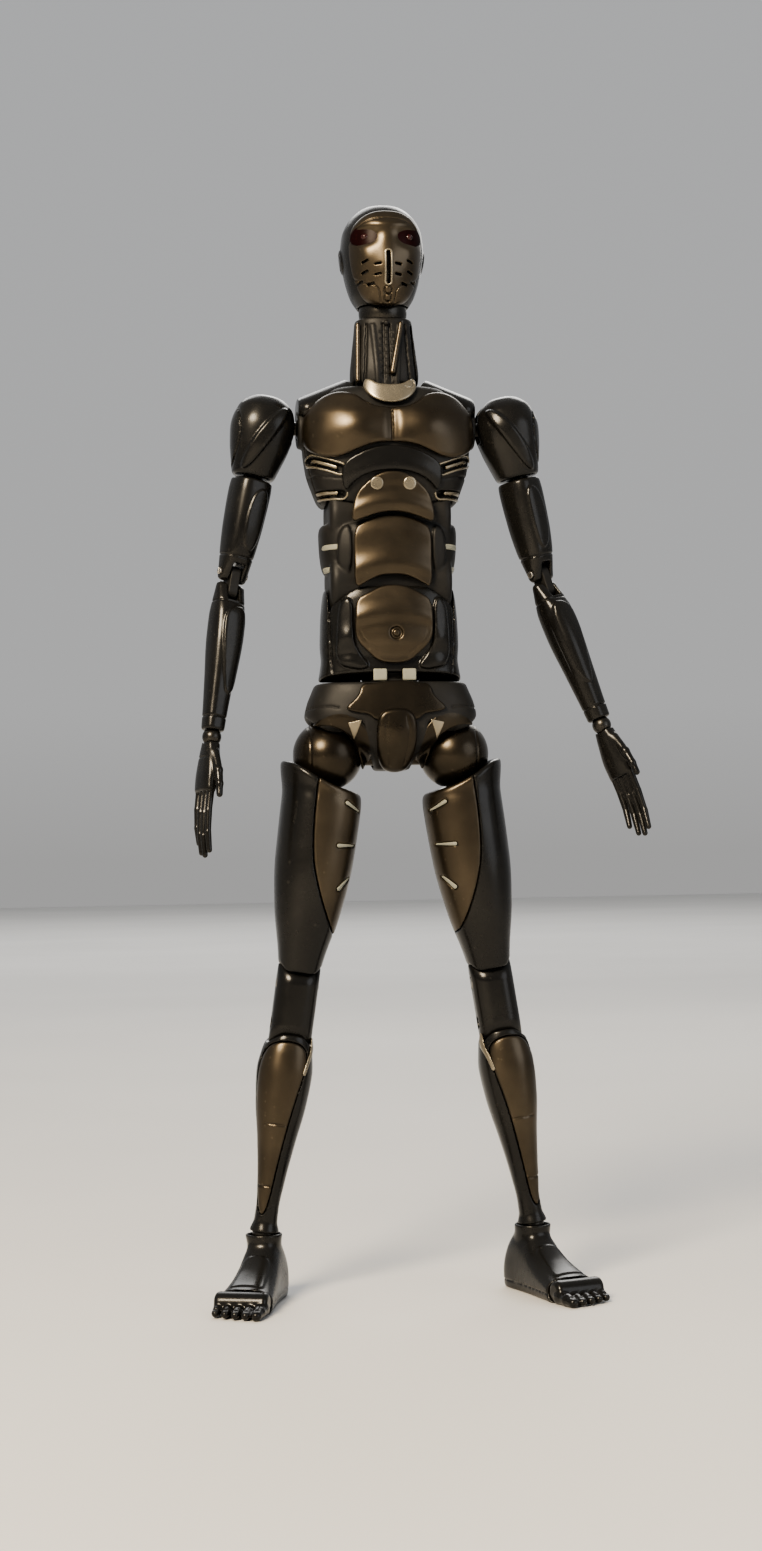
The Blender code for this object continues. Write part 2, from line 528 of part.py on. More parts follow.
def leg(side, s):
    """One leg: hip ball, femur, thigh, knee link, shank, ankle ball, foot and toes."""
    swing = pivot("hip_swing_" + side, root, (s * HIP_X, 0, HIP_Z))
    hip = ball("hip_ball_" + side, swing, SHELL, (0, 0, 0), HIP_R, 16, 9)
    axle = [((s * -13.8, 0, 0), 3.0), ((s * -6.0, 0, 0), 3.0)]
    join(hip, beam("hip_axle", swing, None, axle, 14))
    first, last = (-110.0, -26.0) if s > 0 else (206.0, 290.0)
    cut(hip, slab("hip_slot", swing, None, fan(first, last, 14.0, 5.0, 7.5), "y", -2.3, 2.3))

    splay = pivot("hip_splay_" + side, swing, (0, 0, 0), (0, -s * LEG_SPLAY, 0))
    femur = beam("femur_" + side, splay, PIN,
                 [((0, 0, -1.0), 1.9), ((0, 0, -9.2), 1.9), ((0, 0, -10.4), 3.0), ((0, 0, -24), 3.0)],
                 12)
    join(femur, beam("femur_eye", splay, None, [((0, -1.95, 0), 4.5), ((0, 1.95, 0), 4.5)], 16))

    twist = pivot("thigh_twist_" + side, splay)
    thigh_rings = side_rings(THIGH, s)
    thigh = loft("thigh_shell_" + side, twist, SHELL, thigh_rings, 2.3, 20)
    slope = [(s * -24, 2), (s * -24, -9.0), (s * 3, -4.8), (s * 24, 4.0), (s * 24, 12)]
    cut(thigh, slab("thigh_top", twist, None, slope, "y", -30, 30))
    cut(thigh, pocket(twist, (0, 0, 0), HIP_R))
    cut(thigh, beam("femur_bore", twist, None, [((0, 0, -24.5), 3.35), ((0, 0, -6), 3.35)], 14))
    ring = [((-12, 0, -KNEE_TOP), KNEE_R + 0.45), ((12, 0, -KNEE_TOP), KNEE_R + 0.45)]
    cut(thigh, beam("knee_hollow", twist, None, ring, 20))
    cut(thigh, block("thigh_end", twist, None, (-15, -15, -80), (15, 15, 3.4 - KNEE_TOP)))
    join(thigh, block("thigh_tongue", twist, None, (-2.4, -2.6, 0.0 - KNEE_TOP), (2.4, 2.9, -52.0)))
    eye = [((-2.4, 0, -KNEE_TOP), TONGUE_R), ((2.4, 0, -KNEE_TOP), TONGUE_R)]
    join(thigh, beam("thigh_eye", twist, None, eye, 18))
    hole = [((-9, 0, -KNEE_TOP), 1.8), ((9, 0, -KNEE_TOP), 1.8)]
    cut(thigh, beam("knee_hole", twist, None, hole, 12))
    outline = [(-6.5, -8.5), (-1.0, -5.6), (4.4, -5.6), (4.0, -14.0), (5.4, -24.0), (3.4, -36.0),
               (-0.6, -46.0), (-3.0, -53.0), (-5.4, -46.0), (-7.2, -36.0), (-8.2, -24.0),
               (-8.0, -14.0)]
    outline = [(s * x, z) for x, z in outline]
    inner = plate("thigh_inner_plate_" + side, twist, PLATE, thigh_rings, outline, 0.9, -1, 2.3, 2.0)
    cut(inner, pocket(twist, (0, 0, 0), HIP_R))
    pin_line = [((-5.9, 0, -KNEE_TOP), 1.55), ((5.9, 0, -KNEE_TOP), 1.55)]
    beam("knee_pin_" + side, twist, PIN, pin_line, 12)

    knee = pivot("knee_upper_" + side, twist, (0, 0, -KNEE_TOP))
    bm = bmesh.new()
    loops = []
    for x, inset in ((-5.6, 0.8), (-4.9, 0.0), (4.9, 0.0), (5.6, 0.8)):
        loop = []
        r = KNEE_R - inset
        for k in range(10):
            a = math.radians(k * 20)
            loop.append((x, r * math.cos(a), r * math.sin(a)))
        for k in range(10):
            a = math.radians(180 + k * 20)
            loop.append((x, r * math.cos(a), -KNEE_SPAN + r * math.sin(a)))
        loops.append(loop)
    skin(bm, loops)
    link = solid("knee_link_" + side, knee, SHELL, bm)
    for z, top in ((0.0, 1), (-KNEE_SPAN, -1)):
        rim = [((-2.75, 0, z), TONGUE_R + 0.42), ((2.75, 0, z), TONGUE_R + 0.42)]
        cut(link, beam("link_round", knee, None, rim, 18))
        low = (-2.75, -3.0, min(z, z + top * 9))
        high = (2.75, 9.0, max(z, z + top * 9))
        cut(link, block("link_slot", knee, None, low, high))
        cut(link, beam("link_hole", knee, None, [((-9, 0, z), 1.8), ((9, 0, z), 1.8)], 12))

    shank = pivot("knee_lower_" + side, knee, (0, 0, -KNEE_SPAN))
    calf_rings = side_rings(CALF, s)
    calf = loft("calf_shell_" + side, shank, SHELL, calf_rings, 2.3, 18)
    ring = [((-12, 0, 0), KNEE_R + 0.45), ((12, 0, 0), KNEE_R + 0.45)]
    cut(calf, beam("calf_hollow", shank, None, ring, 20))
    join(calf, block("calf_tongue", shank, None, (-2.4, -2.6, -11.0), (2.4, 2.9, 0.0)))
    eye = [((-2.4, 0, 0), TONGUE_R), ((2.4, 0, 0), TONGUE_R)]
    join(calf, beam("calf_eye", shank, None, eye, 18))
    join(calf, beam("calf_pin", shank, None, [((-5.5, 0, 0), 1.5), ((5.5, 0, 0), 1.5)], 12))
    cut(calf, pocket(shank, (0, 0, -SHANK), ANKLE_R))
    outline = [(-3.8, -6.6), (3.8, -6.2), (6.6, -10.0), (6.8, -18.0), (5.0, -32.0), (3.0, -45.0),
               (1.5, -50.0), (-0.8, -46.0), (-2.4, -32.0), (-4.4, -18.0), (-5.4, -10.0)]
    outline = [(s * x, z) for x, z in outline]
    plate("shin_guard_" + side, shank, SHELL, calf_rings, outline, 0.9, -1, 2.3, 1.5)

    level = pivot("ankle_level_" + side, shank, (0, 0, -SHANK), (0, s * LEG_SPLAY, 0))
    ankle = pivot("ankle_pitch_" + side, level, (0, 0, 0), (0, 0, s * FOOT_TURN))
    ball("ankle_ball_" + side, ankle, PIN, (0, 0, 0), ANKLE_R, 12, 7)

    roll = pivot("ankle_roll_" + side, ankle)
    bm = bmesh.new()
    skin(bm, [foot_ring(y, half, high) for y, half, high in FOOT])
    foot = solid("foot_" + side, roll, SHELL, bm)
    toe_z = TOE_UP - ANKLE_HIGH
    cut(foot, pocket(roll, (0, 0, 0), ANKLE_R))
    cut(foot, block("ankle_well", roll, None, (-9, -9, -1.6), (9, 12, 6)))
    toe_gap = [((-12, TOE_Y, toe_z), TOE_R + 0.5), ((12, TOE_Y, toe_z), TOE_R + 0.5)]
    cut(foot, beam("toe_hollow", roll, None, toe_gap, 18))

    toe_pivot = pivot("toe_bend_" + side, roll, (0, TOE_Y, toe_z))
    toes = beam("toes_" + side, toe_pivot, SHELL, [((-7.3, 0, 0), TOE_R), ((7.3, 0, 0), TOE_R)], 16)
    for k in range(5):
        x = s * (-5.9 + 2.95 * k)
        wide = (1.75, 1.4, 1.35, 1.3, 1.25)[k]
        long = (9.0, 8.8, 8.2, 7.2, 6.0)[k]
        toe = [((x, 0.0, 1.55 - TOE_UP), 1.4), ((x, -0.7 * long, 1.5 - TOE_UP), 1.38),
               ((x, -long, 1.3 - TOE_UP), 0.8)]
        stations = [(p, r * wide / 1.5) for p, r in toe]
        join(toes, beam("toe", toe_pivot, None, stations, 10))
    cut(toes, block("toe_floor", toe_pivot, None, (-12, -14, -9), (12, 6, -TOE_UP)))


arm("l", 1)
arm("r", -1)
leg("l", 1)
leg("r", -1)
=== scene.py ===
"""Looks of the poseable humanoid robot figure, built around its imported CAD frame.

Every shell is a solid distance field in the local millimetres of the joint it hangs
from, meshed on a fine grid, and placed in the frame by the same joint chain as the CAD.
"""
import functools
from math import cos, pi, radians, sin

import bpy
import numpy as np
from mathutils import Matrix, Vector


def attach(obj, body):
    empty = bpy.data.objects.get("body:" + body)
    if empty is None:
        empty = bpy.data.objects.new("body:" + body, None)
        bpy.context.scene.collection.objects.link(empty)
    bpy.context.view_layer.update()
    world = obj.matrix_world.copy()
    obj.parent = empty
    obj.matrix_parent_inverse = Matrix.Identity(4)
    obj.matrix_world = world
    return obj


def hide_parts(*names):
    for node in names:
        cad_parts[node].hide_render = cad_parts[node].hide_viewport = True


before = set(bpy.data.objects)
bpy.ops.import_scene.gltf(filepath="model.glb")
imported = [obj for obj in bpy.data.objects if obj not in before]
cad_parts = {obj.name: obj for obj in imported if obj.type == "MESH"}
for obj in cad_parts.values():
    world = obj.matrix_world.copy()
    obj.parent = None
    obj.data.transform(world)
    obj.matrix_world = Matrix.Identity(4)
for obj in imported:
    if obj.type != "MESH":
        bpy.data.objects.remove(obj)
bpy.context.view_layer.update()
FINE = 1
SIDES = (("l", 1), ("r", -1))

# ---------------------------------------------------------------- joint chain
CENTRE = (-6.91, 8.21, 0)
HIP_X, HIP_Z, WAIST_Z, BELLY_Z, CHEST_Z = 17.5, 148, 172, 195.5, 213.5
NECK_Z, HEAD_Z, HEAD_Y, SHOULDER_X, SHOULDER_Z = 248, 270.5, 1, 34, 238
LEG_SPLAY, KNEE_TOP, KNEE_SPAN, SHANK = 8.6, 63.3, 11, 57.1
FOOT_TURN, TOE_Y, TOE_UP = 20, -22.5, 3.3
ANKLE_HIGH = HIP_Z - (KNEE_TOP + KNEE_SPAN + SHANK) * cos(radians(LEG_SPLAY))
ARM_RAISE, ELBOW_TOP, ELBOW_SPAN, FOREARM = 12.5, 41, 5, 41
REST = {"l": (36, 6, 6), "r": (-24, 5, 5)}


def hang(base, at=(0, 0, 0), turn=(0, 0, 0)):
    m = Matrix.Translation(Vector(at))
    for axis, angle in zip("ZYX", reversed(turn)):
        m = m @ Matrix.Rotation(radians(angle), 4, axis)
    return base @ m


# each CAD body's frame at rest; bodies that share a centre share it
F = {"pelvis": Matrix.Translation(Vector(CENTRE))}
for body, height in (("waist", WAIST_Z), ("lower_abdomen", WAIST_Z), ("mid_abdomen", BELLY_Z),
        ("chest", CHEST_Z), ("neck", NECK_Z)):
    F[body] = hang(F["pelvis"], (0, 0, height))
F["head"] = F["neck_ball"] = hang(F["pelvis"], (0, HEAD_Y, HEAD_Z))
for side, s in SIDES:
    twist, bend_a, bend_b = REST[side]
    swing = hang(F["pelvis"], (s * SHOULDER_X, 0, SHOULDER_Z))
    cap = hang(swing, turn=(0, -s * ARM_RAISE, 0))
    upper = hang(cap, turn=(0, 0, s * twist))
    elbow = hang(upper, (0, 0, -ELBOW_TOP), (-bend_a, 0, 0))
    fore = hang(elbow, (0, 0, -ELBOW_SPAN), (-bend_b, 0, 0))
    hand = hang(fore, (0, 0, -FOREARM))
    hip = hang(F["pelvis"], (s * HIP_X, 0, HIP_Z))
    thigh = hang(hip, turn=(0, -s * LEG_SPLAY, 0))
    knee = hang(thigh, (0, 0, -KNEE_TOP))
    shank = hang(knee, (0, 0, -KNEE_SPAN))
    level = hang(shank, (0, 0, -SHANK), (0, s * LEG_SPLAY, 0))
    foot = hang(level, turn=(0, 0, s * FOOT_TURN))
    toes = hang(foot, (0, TOE_Y, TOE_UP - ANKLE_HIGH))
    bodies = "shoulder shoulder_cap upper_arm elbow forearm wrist hand hip femur thigh knee shank"
    bodies = (bodies + " ankle foot toes").split()
    for body, place in zip(bodies, (swing, cap, upper, elbow, fore, hand, hand, hip, thigh, thigh,
            knee, shank, foot, foot, toes)):
        F[body + "_" + side] = place


# ---------------------------------------------------------------- distance fields
# A point array p holds X, Y and Z grids in millimetres. A field is negative inside.
AIR = 0.3       # between a ball and its socket
BORE_R = 3.35   # holes that take the shoulder, hip and thigh stems
TRUNK_N, ROUND_N = 2.8, 2.3     # how square the ovals of the trunk and of the limbs are
YZ = (1, 2)


def folded(p):
    """The same points with X made positive, so that one outline serves both sides."""
    return np.stack([abs(p[0]), p[1], p[2]])


def flipped(p, s):
    """The same points with X counted outwards on side s."""
    return np.stack([s * p[0], p[1], p[2]])


def sided(s, a, b):
    """Lowest and highest corner of a box that is given for the left side."""
    low, high = sorted((s * a[0], s * b[0]))
    return (low, *a[1:]), (high, *b[1:])


def both(*fields):
    """The overlap of fields, with a hard edge."""
    return functools.reduce(np.maximum, fields)


def smax(a, b, k):
    h = np.maximum(k - abs(a - b), 0) / k
    return np.maximum(a, b) + h * h * k * 0.25


def smin(a, b, k):
    return -smax(-a, -b, k)


def cut(body, tool, k=0.3):
    return smax(body, -tool, k)


def spline(keys, values, at):
    """A smooth curve through the keys, flat beyond them, without overshoot."""
    x = np.asarray(keys, float)
    y = np.asarray(values, float)
    order = np.argsort(x)
    x = x[order]
    y = y[order]
    step = np.diff(x)
    slope = np.diff(y) / step
    m = np.zeros_like(y)
    same_way = slope[:-1] * slope[1:] > 0
    w1 = 2 * step[1:] + step[:-1]
    w2 = step[1:] + 2 * step[:-1]
    with np.errstate(divide="ignore", invalid="ignore"):
        inner = (w1 + w2) / (w1 / slope[:-1] + w2 / slope[1:])
    m[1:-1] = np.where(same_way, inner, 0)
    m[0] = slope[0]
    m[-1] = slope[-1]
    at = np.clip(at, x[0], x[-1])
    i = np.clip(np.searchsorted(x, at) - 1, 0, len(x) - 2)
    t = (at - x[i]) / step[i]
    t2 = t * t
    t3 = t2 * t
    return ((2 * t3 - 3 * t2 + 1) * y[i] + (t3 - 2 * t2 + t) * step[i] * m[i]
        + (3 * t2 - 2 * t3) * y[i + 1] + (t3 - t2) * step[i] * m[i + 1])


def tube(p, rings, n=2.6, grow=0):
    """Distance to an unbounded stack of ovals (z, hx, hy, cx, cy) along Z."""
    keys = [r[0] for r in rings]
    z1 = p[2, 0, 0]
    hx = spline(keys, [r[1] for r in rings], z1) + grow
    hy = spline(keys, [r[2] for r in rings], z1) + grow
    cx = spline(keys, [r[3] if len(r) > 3 else 0 for r in rings], z1)
    cy = spline(keys, [r[4] if len(r) > 4 else 0 for r in rings], z1)
    x = p[0] - cx
    y = p[1] - cy
    q = ((abs(x) / hx) ** n + (abs(y) / hy) ** n) ** (1 / n)
    r = np.hypot(x, y)
    return r * (1 - 1 / np.maximum(q, 1e-4)) - (q < 1e-4) * np.minimum(hx, hy)


def ends(p, low, high):
    z = p[2]
    return np.maximum(low - z, z - high)


def loft(p, rings, low, high, n=2.6, edge=1.2):
    return smax(tube(p, rings, n), ends(p, low, high), edge)


def ball(p, radius, at=(0, 0, 0)):
    return np.sqrt(sum((p[i] - at[i]) ** 2 for i in range(3))) - radius


def egg(p, at, radii):
    q = np.sqrt(sum(((p[i] - at[i]) / radii[i]) ** 2 for i in range(3)))
    return (q - 1) * min(radii)


def bar(p, a, b, ra, rb):
    """A round bar with round ends between two points, from radius ra to rb."""
    d = [b[i] - a[i] for i in range(3)]
    length = sum(v * v for v in d)
    t = sum((p[i] - a[i]) * d[i] for i in range(3)) / length
    t = np.clip(t, 0, 1)
    gap = np.sqrt(sum((p[i] - a[i] - t * d[i]) ** 2 for i in range(3)))
    return gap - (ra + (rb - ra) * t)


def drum(p, axis, at, radius, half, edge=0.3):
    """A cylinder about a line along an axis, with rounded rims."""
    u, v = [i for i in range(3) if i != axis]
    r = np.hypot(p[u] - at[u], p[v] - at[v]) - radius
    return smax(r, abs(p[axis] - at[axis]) - half, edge)


def brick(p, at, half, edge=0.3):
    """A box with soft edges."""
    x, y, z = [abs(p[i] - at[i]) - half[i] for i in range(3)]
    return smax(smax(x, z, edge), y, edge)


def rounded(points, times=2, closed=True):
    """Corner cutting, which turns a few points into a flowing outline."""
    pts = [tuple(q) for q in points]
    for _ in range(times):
        out = []
        count = len(pts) if closed else len(pts) - 1
        if not closed:
            out.append(pts[0])
        for i in range(count):
            a = pts[i]
            b = pts[(i + 1) % len(pts)]
            out.append((0.75 * a[0] + 0.25 * b[0], 0.75 * a[1] + 0.25 * b[1]))
            out.append((0.25 * a[0] + 0.75 * b[0], 0.25 * a[1] + 0.75 * b[1]))
        if not closed:
            out.append(pts[-1])
        pts = out
    return pts


def mirrored(half):
    return list(half) + [(-x, z) for x, z in reversed(half) if x > 1e-6]


def segments(u, v, points, closed):
    best = None
    inside = np.zeros(u.shape, bool)
    count = len(points) if closed else len(points) - 1
    for i in range(count):
        ax, az = points[i]
        bx, bz = points[(i + 1) % len(points)]
        dx, dz = bx - ax, bz - az
        t = np.clip(((u - ax) * dx + (v - az) * dz) / max(dx * dx + dz * dz, 1e-12), 0, 1)
        d = (u - ax - t * dx) ** 2 + (v - az - t * dz) ** 2
        best = d if best is None else np.minimum(best, d)
        if closed and abs(dz) > 1e-12:
            crosses = ((az > v) != (bz > v)) & (u < (v - az) * dx / dz + ax)
            inside ^= crosses
    best = np.sqrt(best)
    return np.where(inside, -best, best)


def outline(p, points, times=2):
    """Distance to a smooth closed outline in X, Z, run along Y."""
    flat = segments(p[0, :, 0], p[2, :, 0], rounded(points, times), True)
    return np.repeat(flat[:, None, :], p.shape[2], axis=1)


def trail(p, points, times=2, plane=(0, 2)):
    """Distance to a smooth open line in a plane."""
    line = rounded(points, times, False)
    if plane == (0, 2):
        flat = segments(p[0, :, 0], p[2, :, 0], line, False)
        return np.repeat(flat[:, None, :], p.shape[2], axis=1)
    return np.repeat(segments(p[1, 0], p[2, 0], line, False)[None], p.shape[1], axis=0)


def engrave(body, surface, line, width=0.22, deep=0.35):
    """Presses a rounded groove into a body where a line runs over its surface."""
    return smax(body, -smax(line - width, -(surface + deep), 0.15), 0.18)


def emboss(body, surface, shape, height=0.35, edge=0.3):
    return smin(body, smax(shape, surface - height, edge), 0.25)


def groove(body, surface, p, points, face, width, deep):
    """Engraves a smooth open line, where face is negative."""
    return engrave(body, surface, both(trail(p, points), face), width, deep)


def panel(body, surface, p, points, face, height, edge):
    """Raises a smooth outline, where face is negative."""
    return emboss(body, surface, both(outline(p, points), face), height, edge)


def seated(p, rings, points, lift, thick, n=2.6, edge=0.55, facing=-1, near=2, swell=0):
    """A curved plate with rolled edges on a stack of ovals. Returns plate and skin."""
    skin = tube(p, rings, n, lift + thick) - swell
    body = smax(skin, outline(p, points), edge)
    body = smax(body, -tube(p, rings, n, lift), 0.2)
    body = smax(body, near - facing * p[1], 0.3)
    return body, skin


def bump(p, x, z, wide, high, amount):
    return amount * np.exp(-((p[0] - x) / wide) ** 2 - ((p[2] - z) / high) ** 2)


# ---------------------------------------------------------------- meshing
def nets(field, low, cell):
    """Surface nets: one vertex for each cell that the surface crosses."""
    shape = np.array(field.shape)
    cells = shape - 1
    stride = np.array([cells[1] * cells[2], cells[2], 1])
    ids = []
    pts = []
    edges = []
    for axis in range(3):
        a = [slice(None)] * 3
        b = [slice(None)] * 3
        a[axis] = slice(0, -1)
        b[axis] = slice(1, None)
        f0 = field[tuple(a)]
        f1 = field[tuple(b)]
        hit = np.argwhere((f0 < 0) != (f1 < 0))
        v0 = f0[tuple(hit.T)]
        v1 = f1[tuple(hit.T)]
        point = hit.astype(float)
        point[:, axis] += v0 / (v0 - v1)
        u, w = [(1, 2), (2, 0), (0, 1)][axis]
        around = []
        for du, dw in ((0, 0), (1, 0), (1, 1), (0, 1)):
            cell_at = hit.copy()
            cell_at[:, u] -= du
            cell_at[:, w] -= dw
            around.append(cell_at @ stride)
            ids.append(around[-1])
            pts.append(point)
        loop = np.stack(around, 1)
        flip = v0 > 0
        loop[flip] = loop[flip][:, ::-1]
        edges.append(loop)
    ids = np.concatenate(ids)
    pts = np.concatenate(pts)
    unique, where = np.unique(ids, return_inverse=True)
    count = np.bincount(where)
    verts = np.stack([np.bincount(where, pts[:, i]) / count for i in range(3)], 1)
    faces = np.searchsorted(unique, np.concatenate(edges))
    return verts * cell + np.array(low), faces


def add_object(name, data):
    obj = bpy.data.objects.new(name, data)
    bpy.context.scene.collection.objects.link(obj)
    return obj


def mesh_from(name, verts, faces, mat, matrix):
    m = np.array(matrix)
    world = (verts @ m[:3, :3].T + m[:3, 3]) * 0.001
    mesh = bpy.data.meshes.new(name)
    mesh.vertices.add(len(world))
    mesh.vertices.foreach_set("co", world.astype(np.float32).ravel())
    mesh.loops.add(len(faces) * 4)
    mesh.loops.foreach_set("vertex_index", faces.astype(np.int32).ravel())
    mesh.polygons.add(len(faces))
    mesh.polygons.foreach_set("loop_start", np.arange(0, len(faces) * 4, 4, dtype=np.int32))
    mesh.update(calc_edges=True)
    mesh.polygons.foreach_set("use_smooth", np.ones(len(faces), bool))
    mesh.materials.append(mat)
    return add_object(name, mesh)


def build(name, body, mat, low, high, shape, cell, slot=None):
    """Meshes shape(p) inside a box, hangs it on a CAD body and stands it for its CAD node."""
    cell = cell * FINE
    axes = [np.arange(low[i] - cell, high[i] + 2 * cell, cell) for i in range(3)]
    p = np.stack(np.meshgrid(*axes, indexing="ij"))
    field = shape(p)
    field[0], field[-1], field[:, 0], field[:, -1] = 1, 1, 1, 1
    field[:, :, 0], field[:, :, -1] = 1, 1
    verts, faces = nets(field, [a[0] for a in axes], cell)
    obj = mesh_from(name, verts, faces, mat, F[body])
    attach(obj, body)
    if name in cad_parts:
        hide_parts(name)


# ---------------------------------------------------------------- materials
COAT_ROUGH = 0.22


def put(node, values):
    for name, value in values.items():
        node.inputs[name].default_value = value


def shader(name, rough, metal, coat=0, level=0.5):
    mat = bpy.data.materials.new(name)
    mat.use_nodes = True
    tree = mat.node_tree
    bsdf = tree.nodes["Principled BSDF"]
    put(bsdf, {"Metallic": metal, "Roughness": rough, "Coat Weight": coat,
        "Coat Roughness": COAT_ROUGH, "Specular IOR Level": level})
    return mat, tree, bsdf


def noise(tree, scale, detail=3, rough=0.55):
    where = tree.nodes.new("ShaderNodeTexCoord")
    node = tree.nodes.new("ShaderNodeTexNoise")
    put(node, {"Scale": scale, "Detail": detail, "Roughness": rough})
    tree.links.new(where.outputs["Object"], node.inputs["Vector"])
    return node.outputs["Fac"]


def ramp(tree, source, stops):
    node = tree.nodes.new("ShaderNodeValToRGB")
    e = node.color_ramp.elements
    while len(e) < len(stops):
        e.new(0.5)
    for item, (place, colour) in zip(e, stops):
        item.position = place
        item.color = (*colour, 1)
    tree.links.new(source, node.inputs["Fac"])
    return node.outputs["Color"]


def mix(tree, factor, a, b):
    node = tree.nodes.new("ShaderNodeMix")
    node.data_type = "RGBA"
    tree.links.new(factor, node.inputs["Factor"])
    for value, socket in ((a, node.inputs["A"]), (b, node.inputs["B"])):
        if isinstance(value, tuple):
            socket.default_value = (*value, 1)
        else:
            tree.links.new(value, socket)
    return node.outputs["Result"]


def span(tree, source, low, high, to_low, to_high):
    node = tree.nodes.new("ShaderNodeMapRange")
    tree.links.new(source, node.inputs["Value"])
    put(node, {"From Min": low, "From Max": high, "To Min": to_low, "To Max": to_high})
    return node.outputs["Result"]


def relief(tree, bsdf, source, strength, distance):
    node = tree.nodes.new("ShaderNodeBump")
    put(node, {"Strength": strength, "Distance": distance})
    tree.links.new(source, node.inputs["Height"])
    tree.links.new(node.outputs["Normal"], bsdf.inputs["Normal"])


def finish_material(name, dark, light, worn, rough, metal, coat=0, grain=0.00002, level=0.5):
    """Moulded or painted surface: slow colour drift, smudged gloss, fine grain, worn edges."""
    mat, tree, bsdf = shader(name, sum(rough) / 2, metal, coat, level)
    drift = ramp(tree, noise(tree, 55, 4), [(0.32, dark), (0.72, light)])
    specks = span(tree, noise(tree, 2600, 2), 0.66, 0.8, 0, 0.22)
    tone = mix(tree, specks, drift, worn)
    shape = tree.nodes.new("ShaderNodeNewGeometry")
    edge = span(tree, shape.outputs["Pointiness"], 0.53, 0.64, 0, 0.3)
    broken = tree.nodes.new("ShaderNodeMath")
    broken.operation = "MULTIPLY"
    tree.links.new(edge, broken.inputs[0])
    tree.links.new(span(tree, noise(tree, 420, 4), 0.4, 0.62, 0.15, 1), broken.inputs[1])
    tree.links.new(mix(tree, broken.outputs[0], tone, worn), bsdf.inputs["Base Color"])
    smudge = span(tree, noise(tree, 120, 5, 0.62), 0.3, 0.7, rough[0], rough[1])
    tree.links.new(smudge, bsdf.inputs["Roughness"])
    relief(tree, bsdf, noise(tree, 3200, 2), 0.35, grain)
    return mat


SHELL = finish_material("satin_black_shell", (0.0055, 0.0053, 0.005), (0.011, 0.0106, 0.0096),
    (0.05, 0.046, 0.039), (0.19, 0.31), 0.1, 0.1, 0.00002, 0.26)
PLATE = finish_material("bronze_satin_plate", (0.044, 0.035, 0.024), (0.078, 0.0625, 0.043),
    (0.19, 0.155, 0.105), (0.27, 0.38), 0.85, 0.08)
# light bronze for the real trims, also used for the painted glints on the hip flexors and calves
BRIGHT = finish_material("light_bronze_trim_and_painted_glint", (0.2, 0.175, 0.13), (0.3, 0.265, 0.2),
    (0.46, 0.42, 0.34), (0.24, 0.36), 0.75, 0.1)
CORE = finish_material("matte_black_core", (0.0085, 0.0083, 0.008), (0.015, 0.0143, 0.0132),
    (0.036, 0.033, 0.028), (0.4, 0.56), 0.05, 0, 0.00004, 0.25)
PALE = finish_material("pale_pad", (0.19, 0.19, 0.152), (0.26, 0.26, 0.212), (0.34, 0.33, 0.28),
    (0.45, 0.62), 0, 0, 0.00003)
STEEL = finish_material("brushed_joint_steel", (0.2, 0.19, 0.175), (0.34, 0.325, 0.3),
    (0.5, 0.48, 0.45), (0.22, 0.38), 0.95, 0)
BALL = finish_material("dark_bronze_cover", (0.024, 0.0192, 0.0132), (0.042, 0.034, 0.0235),
    (0.12, 0.1, 0.07), (0.24, 0.35), 0.85, 0.08)
JOINT = finish_material("blackened_joint_steel", (0.03, 0.0285, 0.026), (0.055, 0.052, 0.047),
    (0.22, 0.21, 0.19), (0.24, 0.38), 0.9, 0)
LENS = finish_material("dark_red_lens", (0.0055, 0.001, 0.0011), (0.012, 0.0021, 0.0022),
    (0.03, 0.008, 0.008), (0.26, 0.36), 0, 0, 0.00001, 0.07)
EYE = finish_material("deep_red_eye", (0.012, 0.002, 0.0018), (0.028, 0.0042, 0.0036),
    (0.05, 0.012, 0.01), (0.09, 0.15), 0, 0, 0.00001, 0.5)

# ---------------------------------------------------------------- shared tables
PELVIS = [(143, 4.4, 6.2), (147, 6.5, 9.5), (151, 13, 11.8), (155.5, 22.4, 12.8), (158.6, 23.6, 13),
    (162, 22.9, 12.8), (165, 21.7, 12.4), (167.6, 20.6, 11.7)]
LOWER = [(167.6, 19.9, 10), (170.8, 19.3, 9.8), (174, 18.9, 9.8), (178, 19.1, 10.8),
    (184, 18.9, 11.3), (190, 18.4, 11.2), (193.6, 17.8, 10.6)]
MID = [(197, 17.4, 10.2), (200, 18.4, 11), (205, 18.9, 11.5), (208.5, 19, 11.3),
    (211.4, 18.6, 10.6)]
MID_SKIN = [(189, 17.6, 11.7), (197, 18, 11.4), (205, 18.8, 11.5), (209, 18.8, 11.4),
    (214, 18.6, 10.9)]
RIBS = [(215.6, 18.6, 11), (220, 20.4, 12.4), (226, 22.3, 13.6), (233, 23.1, 14), (240, 22.6, 13.2),
    (244.5, 20, 11.8), (249.5, 15, 9.8)]
UPPER_SKIN = [(206, 18.5, 13.2), (214, 19, 13.2), (220, 20, 13.3), (226, 21.5, 14)]
COLLAR = [(240, 12, 13.6), (246, 10.2, 12.3), (252, 8.6, 10.6)]


def down(rings, z0):
    return [(r[0] - z0,) + tuple(r[1:]) for r in rings]


def below(points, z0):
    return [(x, z - z0) for x, z in points]


# ---------------------------------------------------------------- pelvis
BALL_R, CUP_R, SOCKET_R, ARCH_R = 9.6, 10.75, 11, 10.1


def oval(p, x, z, long, high, tilt):
    """Flat distance to a slot with round ends, rising with X by its tilt."""
    c = cos(radians(tilt))
    t = sin(radians(tilt))
    u = (p[0] - x) * c + (p[2] - z) * t
    v = (p[2] - z) * c - (p[0] - x) * t
    return np.hypot(both(abs(u) - long + high, 0), v) - high


